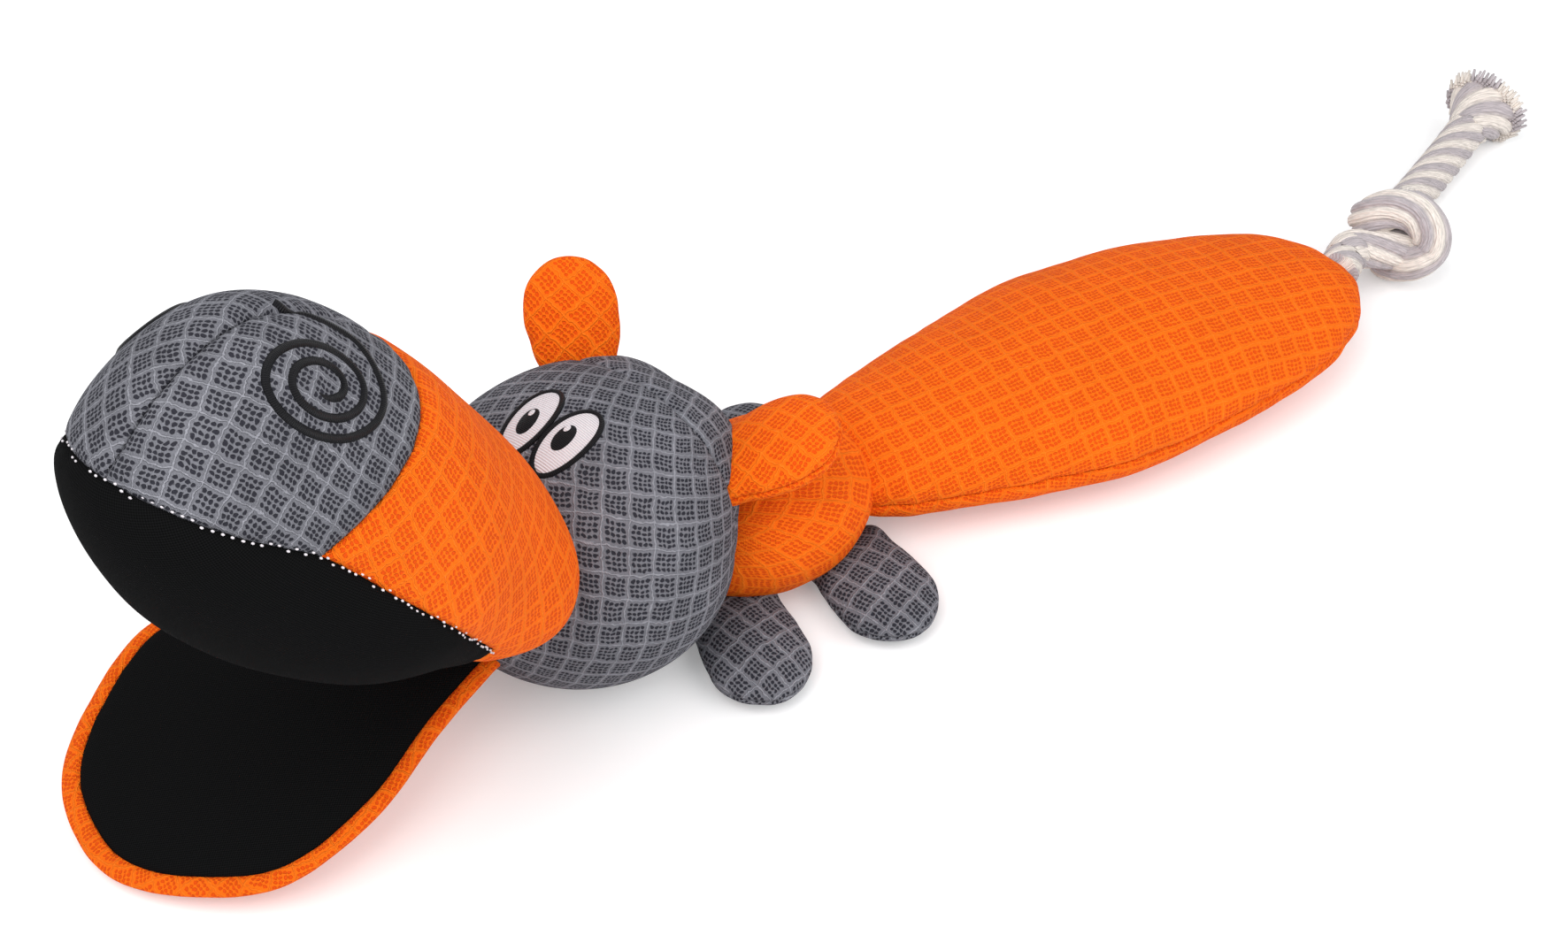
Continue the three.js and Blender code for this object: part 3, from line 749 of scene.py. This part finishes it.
# A panel of cloth: unwrapped, laid along its grain and given its thickness. Where slit holds for
# both ends of an edge, the unwrapping may cut the cloth along it.
def cloth_piece(name, mesh, matrix, slot, body, nodes, grain, near, slit=None):
    if slit:
        for edge in mesh.edges:
            edge.seam = all(slit(vert.co) for vert in edge.verts)
    piece = new_piece(name, mesh, matrix, SLOTS[slot])
    for vert in piece.data.vertices:
        vert.co.z = max(vert.co.z, FLOOR_GAP * MM)
    unwrap(piece)
    lay_cloth(piece, grain, near)
    thicken(piece, CLOTH_THICKNESS)
    return belong(piece, body, nodes)


# ---- Cords ----


def frames_along(line, closed=False):
    ways = []
    for i in range(len(line)):
        if closed:
            way = line[(i + 1) % len(line)] - line[i - 1]
        else:
            way = line[min(i + 1, len(line) - 1)] - line[max(i - 1, 0)]
        ways.append(way.normalized())
    side = ways[0].orthogonal().normalized()
    frames = []
    for way in ways:
        side = (side - way * side.dot(way)).normalized()
        frames.append((side, way.cross(side)))
    return frames


# A cord swept along a line. reach_at gives its radius at a length along it and a share of its
# turn, and lay is the length in which its section turns once round. The cloth place holds length
# and turn.
def swept(line, reach_at, sides, lay=0.0, closed=False):
    mesh = bmesh.new()
    length_of = mesh.verts.layers.float.new("length")
    share_of = mesh.verts.layers.float.new("share")
    frames = frames_along(line, closed)
    route = line + line[:1] if closed else line
    lengths = [0.0]
    for a, b in zip(route, route[1:]):
        lengths.append(lengths[-1] + (b - a).length)
    last = len(route) - 1
    bmesh.ops.create_grid(mesh, x_segments=last, y_segments=sides, size=1)
    for vert in mesh.verts:
        ring = round((vert.co.x + 1) / 2 * last)
        share = round((vert.co.y + 1) / 2 * sides) / sides
        number = ring % len(line)
        first, second = frames[number]
        angle = 2 * math.pi * (share + (lengths[number] / lay if lay else 0.0))
        out = first * math.cos(angle) + second * math.sin(angle)
        vert.co = line[number] + out * reach_at(lengths[number], share)
        vert[length_of] = lengths[ring]
        vert[share_of] = share
    layer = mesh.loops.layers.uv.new("UVMap")
    for face in mesh.faces:
        for loop in face.loops:
            loop[layer].uv = (loop.vert[length_of], loop.vert[share_of])
    bmesh.ops.remove_doubles(mesh, verts=mesh.verts[:], dist=0.0001)
    rims = [edge for edge in mesh.edges if edge.is_boundary]
    for cap in bmesh.ops.holes_fill(mesh, edges=rims, sides=0)["faces"]:
        for loop in cap.loops:
            loop[layer].uv = (loop.vert[length_of], loop.vert[share_of] % 1.0)
    bmesh.ops.recalc_face_normals(mesh, faces=mesh.faces[:])
    return mesh


# A piece of thread or rope, whose cloth place is already on its mesh.
def cord_piece(name, mesh, slot, body, nodes=(), matrix=Matrix.Identity(4)):
    piece = new_piece(name, mesh, matrix, SLOTS[slot])
    return belong(piece, body, nodes)


# ---- Rope: neck, knot, end and fray ----

RING = STRANDS * 8
STEP = 0.8
ROPE_RADIUS = 6.0
ROPE_LAY = 34.0
NECK = [(-239.5, 3.5, 18.0), (-246.0, -0.9, 16.3), (-251.7, -3.6, 16.0)]
ROPE_END = [(-283.7, -18.2, 7.0), (-308.0, -28.5, 7.0), (-325.0, -35.5, 9.5)]
KNOT_MIDDLE = Vector((-269.0, -3.2, 14.0))
KNOT_RADIUS = 5.9
KNOT_LAY = 90.0
KNOT_DIP = 0.2
FLARE = 13.5
FLARE_LAY = 1.3 * ROPE_LAY
LOOSE_YARNS = 380
GOLDEN_ANGLE = 2.399963


# The outline of a rope of round strands: it dips between them.
def strand_reach(radius, share, dip=0.12):
    place = 2 * ((share * STRANDS) % 1.0) - 1
    return radius * (1 - dip + dip * math.sqrt(max(0.0, 1 - place * place)))


# The rope from neck to end. It is slimmer where it runs hidden in the knot.
def add_rope():
    route = smooth_line(NECK + ROPE_END, STEP)
    total = sum((b - a).length for a, b in zip(route, route[1:]))
    knot_start = 13.0
    knot_end = total - 52.0

    def reach(along, share):
        slim = 0.8 if knot_start < along < knot_end else 1.0
        return strand_reach(ROPE_RADIUS * slim, share)

    mesh = swept(route, reach, RING, ROPE_LAY)
    return cord_piece("rope", mesh, "cotton", "rope", ("rope_neck", "rope_end")), route, total


def lift_off_floor(mesh):
    for vert in mesh.verts:
        vert.co.z = max(vert.co.z, FLOOR_GAP)


# The knot's route in a frame that faces the camera: to the right, up the picture, and out of it.
KNOT_ROUTE = [
    (-1, -4.5, 4),
    (5, -4.5, 0),
    (7, 0.5, -4.5),
    (3, 4, -6),
    (-4, 4.5, -3),
    (-9.5, 4.5, 1),
    (-10, 5.5, 6),
    (-4, 7.5, 9.5),
    (2.5, 6, 10.5),
    (7, 1, 10),
    (7.5, -4.5, 8),
    (3, -8, 4.5),
    (-2.5, -6.5, -6),
    (-2, 0, -7),
    (1.5, 4.5, 2),
    (4, 10, -7),
]


def add_knot():
    axes = Matrix((RIGHT_OF_VIEW, UP_OF_VIEW, -VIEW)).transposed()
    middle = [KNOT_MIDDLE + axes @ (Vector(spot) * 0.93) for spot in KNOT_ROUTE]
    line = smooth_line(NECK[-2:] + middle + ROPE_END[:1], STEP)
    mesh = swept(line, lambda _, share: strand_reach(KNOT_RADIUS, share, KNOT_DIP), RING, KNOT_LAY)
    lift_off_floor(mesh)
    return cord_piece("rope_knot_turns", mesh, "cotton", "rope", ("rope_knot",))


# The frayed end: the strands flare, and short cut yarns stand out of their end.
def add_fray():
    start, end = Vector(ROPE_END[1]), Vector(ROPE_END[2])
    way = (end - start).normalized()
    line = [end + way * (STEP * i - 1.0) for i in range(int(FLARE / STEP))]

    def reach(along, share):
        spread = max(0.0, along / FLARE)
        return strand_reach(ROPE_RADIUS + 6.5 * spread**1.2, share, 0.12 + 0.1 * spread)

    mesh = swept(line, reach, RING, FLARE_LAY)
    rim = line[-1] - way * 1.5
    layer = mesh.loops.layers.uv.active
    first, second = frames_along([end, end + way])[0]
    for i in range(LOOSE_YARNS):
        angle = GOLDEN_ANGLE * i
        share = math.sqrt((i + 0.5) / LOOSE_YARNS)
        out = first * math.cos(angle) + second * math.sin(angle)
        base = rim + out * ((ROPE_RADIUS + 5.8) * share)
        stray = Vector([noise.noise(Vector((0.37 * i, 1.7, row))) for row in (4.1, 9.3, 14.7)])
        lean = (way + out * (0.5 * share) + stray * 0.3).normalized()
        length = 3.4 + 1.6 * noise.noise(Vector((0.61 * i, 7.3, 2.9)))
        turn = lean.to_track_quat("Z", "Y").to_matrix().to_4x4()
        middle = Matrix.Translation(base + lean * length / 2)
        made = bmesh.ops.create_cone(mesh, cap_ends=True, segments=5, radius1=0.6, radius2=0.4,
                                     depth=length, matrix=middle @ turn)
        turns = angle / (2 * math.pi) - FLARE / FLARE_LAY
        strand = (math.floor(turns * STRANDS) % STRANDS + 0.5) / STRANDS
        for face in {face for vert in made["verts"] for face in vert.link_faces}:
            for loop in face.loops:
                loop[layer].uv = (3.7 * i, strand)
    lift_off_floor(mesh)
    return cord_piece("rope_frayed_end", mesh, "cotton", "rope", ("rope_fray",))


rope, route, rope_length = add_rope()
knot = add_knot()
fray = add_fray()

# ---- Head, muzzle and eyes ----

HEAD = place_in(Matrix.Identity(4), (0, 0, 39.5), 21)
MUZZLE = place_in(HEAD, (27.5, 0, 11.5), 0, 47)
HEAD_RADIUS = 40.0
MUZZLE_LENGTH = 143
HEAD_BACK_SHARE = 1.085
HEAD_SEAM = -22.0
NOSE_SEAM = Vector((111, 0, 0))
NOSE_LEAN = math.radians(33.4)
NOSE_WAY = Vector((math.cos(NOSE_LEAN), 0, math.sin(NOSE_LEAN)))


LIP_BACK = 33.5
LIP_CORNER = Vector((LIP_BACK, 0, -12.3))
LIP_BACK_WAY = Vector((1, 0, -0.7)).normalized()
LIP_HEIGHTS = [-12.3, -10.0, -7.7, -5.3, -3.2, -1.2, 0.9, 2.4, 1.6, 0.7, 0.0]


# The height of the lip's seam: it falls from the nose towards the mouth's corners.
def lip_height(x):
    along = (x - LIP_BACK) / (MUZZLE_LENGTH - LIP_BACK)
    return swell(LIP_HEIGHTS, min(1.0, max(0.0, along)))


# The head: a ball with a fuller crown, and slimmer behind the eyes' sides.
def head_mesh():
    mesh = ball(41)
    for vert in mesh.verts:
        back, aside, high = max(0.0, -vert.co.x), abs(vert.co.y), vert.co.z
        from_crown = (back - 0.82) ** 2 + (aside - 0.38) ** 2 + (high - 0.38) ** 2
        crown = 0.09 * math.exp(-from_crown / 0.12)
        hollow = 0.15 * back * aside * max(0.0, 1 - abs(high) / 0.8)
        vert.co *= HEAD_RADIUS * (1 + crown - hollow)
        vert.co.x *= 1.0 if vert.co.x > 0 else HEAD_BACK_SHARE
    cut_seam(mesh, (HEAD_SEAM, 0, 0), ALONG)
    return sew(mesh, lambda spot: 0 if spot.x > HEAD_SEAM else 1,
               depth=0.8, width=4, pucker=0.3, lumps=0.5, seed=1)


def muzzle_panel(spot):
    if (spot - LIP_CORNER).dot(LIP_BACK_WAY) > 0 and spot.z < lip_height(spot.x):
        return 0
    if (spot - NOSE_SEAM).dot(NOSE_WAY) < 0:
        return 1
    return 2 if spot.y > 0 else 3


def muzzle_mesh():
    mesh = stuffed(
        47,
        length=MUZZLE_LENGTH,
        half_width=39.5,
        above=40,
        below=32,
        width_shares=[1.5, 1, 1, 0.9, 1.05],
        above_shares=[1, 0.9, 1, 1.23, 1.6],
        below_shares=[1.05, 0.92, 1, 1, 0.87],
    )
    for vert in mesh.verts:
        far = max(0.0, -vert.co.y / 40) * min(1.0, max(0.0, vert.co.x / 60 - 1))
        vert.co.y *= 1 + 0.12 * far
        vert.co.z *= 1 + (0.2 * far if vert.co.z > 0 else 0.0)
    shear(mesh, lip_height, -1)
    cut_seam(mesh, (0, 0, 0), UP, (0.0, 1.0, -1.0, 2.5, -2.5))
    shear(mesh, lip_height, 1)
    cut_seam(mesh, LIP_CORNER, LIP_BACK_WAY, (0.0, 0.8, -0.8))
    cut_seam(mesh, NOSE_SEAM, NOSE_WAY)
    cut_seam(mesh, (0, 0, 0), ACROSS, (0.0, 0.8, -0.8, 2.0, -2.0))
    return sew(mesh, muzzle_panel, depth=1.0, width=4.5, pucker=0.35, lumps=0.7, seed=2)


head_form = head_mesh()
muzzle_form = muzzle_mesh()
head_tree = surface_tree(head_form, HEAD)
muzzle_tree = surface_tree(muzzle_form, MUZZLE)
LIP = [MUZZLE @ spot for spot in seam_line(muzzle_form, 0) if spot.x > LIP_BACK + 1]


def under_middle(spot):
    return abs(spot.y) < 0.05 and spot.z < 0


def add_head():
    face, back = panels(head_form, 2)
    trim(face, HEAD, [muzzle_tree], 3.0)
    cloth_piece("head_face", face, HEAD, "grey_mesh", "head", ("head_face_panel", "head_filling"),
                falling(6), (0, 28, 62), slit=under_middle)
    cloth_piece("head_back", back, HEAD, "grey_mesh", "head", ("head_back_panel",),
                falling(6), (-28, 20, 55))


def add_muzzle():
    palate, cheeks, left, right = panels(muzzle_form, 4)
    trim(palate, MUZZLE, [head_tree], 3.0)
    trim(cheeks, MUZZLE, [head_tree], 3.0)
    grain = falling(21)
    cloth_piece("palate", palate, MUZZLE, "black_lining", "head",
                ("palate_panel", "muzzle_filling", "squeaker_bladder", "squeaker_reed"),
                grain, (80, 20, 100))
    cloth_piece("cheeks", cheeks, MUZZLE, "orange_mesh", "head", ("cheek_band",),
                grain, (60, 40, 100), slit=under_middle)
    cloth_piece("nose_left", left, MUZZLE, "grey_mesh", "head", ("nose_panel_left",),
                grain, (90, 50, 150))
    cloth_piece("nose_right", right, MUZZLE, "grey_mesh", "head", ("nose_panel_right",),
                grain, (100, 20, 150))


# A domed oval patch of stitching on the top of the head.
def dome_patch(length, width, middle, turn, rise, crown):
    mesh = bmesh.new()
    bmesh.ops.create_grid(mesh, x_segments=20, y_segments=14, size=1)
    turned = Matrix.Rotation(math.radians(turn), 2)
    layer = mesh.loops.layers.uv.new("UVMap")
    flat = {}
    for vert in mesh.verts:
        x, y = vert.co.x, vert.co.y
        x, y = x * math.sqrt(1 - y * y / 2), y * math.sqrt(1 - x * x / 2)
        spot = Vector(middle) + turned @ Vector((x * length / 2, y * width / 2))
        edge = max(0.0, 1 - x * x - y * y)
        height = HEAD_RADIUS + rise + crown * math.sqrt(edge)
        flat[vert] = spot
        vert.co = (spot.x, spot.y, math.sqrt(height * height - spot.x**2 - spot.y**2))
    for face in mesh.faces:
        for loop in face.loops:
            loop[layer].uv = flat[loop.vert]
    return mesh


def ring_on_head(length, width, middle, turn, rise, radius):
    turned = Matrix.Rotation(math.radians(turn), 2)
    points = []
    for i in range(72):
        angle = 2 * math.pi * i / 72
        aside = Vector((length / 2 * math.cos(angle), width / 2 * math.sin(angle)))
        spot = Vector(middle) + turned @ aside
        height = HEAD_RADIUS + rise
        points.append(Vector((spot.x, spot.y, math.sqrt(height * height - spot.x**2 - spot.y**2))))
    return swept(points, lambda *_: radius, 10, closed=True)


def add_eye(side, node):
    name = "eye_left" if side > 0 else "eye_right"
    middle = (7.6, side * 5.6)
    turn = side * -4
    white = dome_patch(20.4, 9.8, middle, turn, 0.3, 0.4)
    piece = cord_piece(name + "_white", white, "white_thread", "head", (node,), HEAD)
    wall = piece.modifiers.new("wall", "SOLIDIFY")
    wall.thickness = 0.9 * MM
    wall.offset = -1
    outline = ring_on_head(20.6, 10.0, middle, turn, 0.1, 0.72)
    cord_piece(name + "_outline", outline, "black_thread", "head", (), HEAD)
    pupil_place = (7.8, 4.9) if side > 0 else (8.6, -5.6)
    pupil = dome_patch(8.1, 4.3, pupil_place, turn + 4, 0.6, 0.6)
    cord_piece(name + "_pupil", pupil, "black_thread", "head", (), HEAD)
    light_place = (5.7, 4.2) if side > 0 else (6.6, -6.1)
    light = dome_patch(2.2, 1.3, light_place, turn, 1.1, 0.25)
    cord_piece(name + "_light", light, "white_thread", "head", (), HEAD)


NOSTRIL_MIDDLE = Vector((116.2, 16.3, 32.2))
NOSTRIL_FACING = Vector((0.28, 0.72, 0.63)).normalized()
FAR_NOSTRIL_SHIFT = Vector((0, 0.66, -0.75)) * 10
FAR_NOSTRIL_SHARE = 0.85
NOSTRIL_TAIL = [(13, 11), (4, 16), (-0.5, 17.8), (-2.5, 19.3)]


# A spiral drawn flat in front of the nose and cast on its cloth. The far one lies further round,
# where the photograph hides it.
def nostril_line(side):
    back = (-ALONG - NOSTRIL_FACING * (-ALONG).dot(NOSTRIL_FACING)).normalized()
    upward = NOSTRIL_FACING.cross(back)
    flat = []
    for i in range(25):
        turns = i / 10
        reach = (2.6 + 4.6 * turns) * (1 if side > 0 else FAR_NOSTRIL_SHARE)
        angle = math.radians(-140) + 2 * math.pi * turns
        flat.append((1.18 * reach * math.cos(angle), 0.84 * reach * math.sin(angle)))
    line = []
    flat += NOSTRIL_TAIL if side > 0 else NOSTRIL_TAIL[:1]
    for x, y, _ in smooth_line([Vector((x, y, 0)) for x, y in flat], STEP):
        start = NOSTRIL_MIDDLE + back * x + upward * y + NOSTRIL_FACING * 40
        way = -NOSTRIL_FACING.copy()
        if side < 0:
            start += FAR_NOSTRIL_SHIFT
            start.y, way.y = -start.y, -way.y
        spot, normal, _, _ = muzzle_tree.ray_cast(MUZZLE @ start, MUZZLE.to_3x3() @ way)
        line.append(spot - normal * 0.45)
    return line


def add_nostril(side, name):
    line = nostril_line(side)
    total = STEP * (len(line) - 1)

    def reach(along, _):
        thin = min(1.0, 0.35 + along / 8)
        blob = 1.0 + 0.25 * math.exp(-(((along - total) / 2.0) ** 2))
        return 1.05 * thin * blob

    cord_piece(name + "_cord", swept(line, reach, 10), "black_thread", "head", (name,))


STITCH_PITCH = 2.0
STITCH_SIZE = Matrix.Diagonal((0.45, 0.3, 0.28, 1))


# The edge stitches of the lip: short white threads over the black side of the seam.
def add_lip_stitches():
    mesh = bmesh.new()
    mesh.loops.layers.uv.new("UVMap")
    line = even_steps(LIP, STITCH_PITCH)
    for a, b in zip(line, line[1:]):
        way = (b - a).normalized()
        _, normal, _, _ = muzzle_tree.find_nearest(a)
        down = normal.cross(way).normalized()
        if down.z > 0:
            down = -down
        spot, normal, _, _ = muzzle_tree.find_nearest(a + down * 0.8)
        spot += normal * 0.75
        turn = Matrix((way, normal.cross(way), normal)).transposed().to_4x4()
        place = Matrix.Translation(spot) @ turn @ STITCH_SIZE
        bmesh.ops.create_icosphere(mesh, subdivisions=1, radius=1, matrix=place)
    cord_piece("lip_stitches", mesh, "white_thread", "head")


add_head()
add_muzzle()
add_lip_stitches()
add_eye(1, "eye_left")
add_eye(-1, "eye_right")
add_nostril(1, "nostril_left")
add_nostril(-1, "nostril_right")

# ---- Lower jaw ----

JAW = place_in(Matrix.Identity(4), (34, -3.2, 28), 0, -13.5)
JAW_OUTLINE = [(1, 0), (0.97, 0.38), (0.85, 0.72), (0.65, 1), (0.4, 0.93), (0.18, 0.68),
               (0, 0.52), (-0.14, 0.4)]
JAW_RIM = 2


def add_jaw():
    mesh = padded_lobe(41, JAW_OUTLINE, 104, 45, 5, 10)
    cut_seam(mesh, (0, 0, JAW_RIM), UP, (0.0, 0.7, -0.7))
    sew(mesh, split_at(JAW_RIM), depth=0.6, width=4, pucker=0.3, lumps=0.5, seed=3)
    lining, under = panels(mesh, 2)
    grain = Vector((1, 0.1, 0))
    trees = [head_tree, muzzle_tree]
    for part in (lining, under):
        trim(part, JAW, trees, 0.8)
    cloth_piece("jaw_top", lining, JAW, "black_lining", "jaw", ("jaw_lining", "jaw_filling"),
                grain, (90, 0, 15))
    cloth_piece("jaw_under", under, JAW, "orange_mesh", "jaw", ("jaw_underside",),
                grain, (90, 40, 8))


add_jaw()

# ---- Tail, body, ears and paws ----

TORSO = place_in(Matrix.Identity(4), (-20, 0, 20.5), 180)
TORSO_SWELL = [0.95, 1, 1, 0.95]
BELLY_SEAM = -13.5


def torso_mesh():
    mesh = stuffed(29, 63, 25, 21, 21, TORSO_SWELL, TORSO_SWELL, TORSO_SWELL)
    cut_seam(mesh, (0, 0, BELLY_SEAM), UP, (0.0, 0.8, -0.8))
    return sew(mesh, split_at(BELLY_SEAM), depth=0.8, width=4, pucker=0.4, lumps=0.8, seed=4)


torso_form = torso_mesh()
torso_tree = surface_tree(torso_form, TORSO)


TAIL = place_in(Matrix.Identity(4), (-65, -4, 18), 178)


def tail_mesh():
    widths = [1.03, 0.89, 0.93, 1, 1, 1.06, 1.12]
    heights = [0.95, 1, 1, 1, 1, 1, 1.15]
    mesh = stuffed(49, 176, 37.5, 18.5, 18.5, widths, heights, heights)
    for vert in mesh.verts:
        vert.co.y -= 4 * max(0.0, vert.co.x / 88 - 1) ** 2
        if vert.co.z > 0:
            vert.co.z *= 1 + 0.5 * math.exp(-((vert.co.x / 24) ** 2))
    cut_seam(mesh, (0, 0, 0), UP)
    return sew(mesh, split_at(0), depth=1.0, width=5, pucker=0.9, wave=6, lumps=1.0, seed=11)


tail_form = tail_mesh()
tail_tree = surface_tree(tail_form, TAIL)


def add_tail():
    top, bottom = panels(tail_form, 2)
    for part in (top, bottom):
        trim(part, TAIL, [torso_tree], 6.0)
    grain = TAIL.to_3x3() @ ALONG
    cloth_piece("tail_top", top, TAIL, "orange_mesh", "tail",
                ("tail_top_panel", "tail_filling", "rope_anchor"), grain, (-150, 0, 36))
    cloth_piece("tail_bottom", bottom, TAIL, "orange_mesh", "tail", ("tail_bottom_panel",),
                grain, (-150, 0, 0))


def add_torso():
    back, belly = panels(torso_form, 2)
    for part in (back, belly):
        trim(part, TORSO, [head_tree], 3.0)
        trim(part, TORSO, [tail_tree], 9.0)
    cloth_piece("body_back", back, TORSO, "orange_mesh", "body",
                ("body_back_panel", "body_filling"), RIGHT_OF_VIEW, (-50, 20, 35))
    cloth_piece("body_belly", belly, TORSO, "orange_mesh", "body", ("body_belly_panel",),
                RIGHT_OF_VIEW, (-50, 0, 0))


EAR_ROOT_RADIUS = 38.5
EAR_OUTLINE = [(1, 0), (0.93, 0.52), (0.76, 0.88), (0.5, 1), (0.25, 0.95), (0, 0.8), (-0.2, 0.6)]
PAW_OUTLINE = [(1, 0), (0.93, 0.55), (0.75, 0.95), (0.5, 1), (0.25, 0.92), (0, 0.75)]


# A padded ear or paw in two panels, without the cloth of its root that lies inside other parts.
def add_lobe(name, matrix, outline, size, slot, trees, near, seed, grain):
    length, half_width, thick = size
    mesh = padded_lobe(21, outline, length, half_width, thick / 2, thick / 2)
    cut_seam(mesh, (0, 0, 0), UP, (0.0, 0.6, -0.6))
    sew(mesh, split_at(0), depth=0.35, width=2.5, pucker=0.3, wave=4, lumps=0.5, seed=seed)
    upper, lower = panels(mesh, 2)
    for part in (upper, lower):
        trim(part, matrix, trees, 2.0)
    cloth_piece(name + "_top", upper, matrix, slot, name,
                (name + "_upper_panel", name + "_filling"), grain, near)
    cloth_piece(name + "_bottom", lower, matrix, slot, name, (name + "_lower_panel",), grain, near)


def add_ear(name, around, rise, yaw, pitch, size, seed):
    across = EAR_ROOT_RADIUS * math.cos(math.radians(rise))
    root = (
        HEAD_BACK_SHARE * across * math.cos(math.radians(around)),
        across * math.sin(math.radians(around)),
        EAR_ROOT_RADIUS * math.sin(math.radians(rise)),
    )
    matrix = place_in(HEAD, root, yaw, pitch)
    near = matrix @ Vector((15, 0, 0))
    grain = matrix.to_3x3() @ Vector((1, 0.8, 0))
    add_lobe(name, matrix, EAR_OUTLINE, size, "orange_mesh", [head_tree], near, seed, grain)


def add_paw(name, x, y, yaw, side, seed, length=38):
    matrix = place_in(Matrix.Identity(4), (x, side * y, 6), side * yaw)
    near = matrix @ Vector((20, 0, 0))
    grain = matrix.to_3x3() @ Vector((1, 0.5, 0))
    size = (length, 13.5, 12.6)
    trees = [torso_tree, head_tree]
    add_lobe(name, matrix, PAW_OUTLINE, size, "grey_mesh", trees, near, seed, grain)


add_torso()
add_tail()
add_ear("ear_left", 139, 18, 141, 21, (29, 14.0, 14), 5)
add_ear("ear_right", -139, 40, -127, 62, (28.5, 12.0, 10), 6)
add_paw("front_paw_left", -34, 11.5, 81, 1, 7)
add_paw("front_paw_right", -34, 11.5, 81, -1, 8, 34.5)
add_paw("hind_paw_left", -68, 10, 92, 1, 9)
add_paw("hind_paw_right", -68, 10, 92, -1, 10)
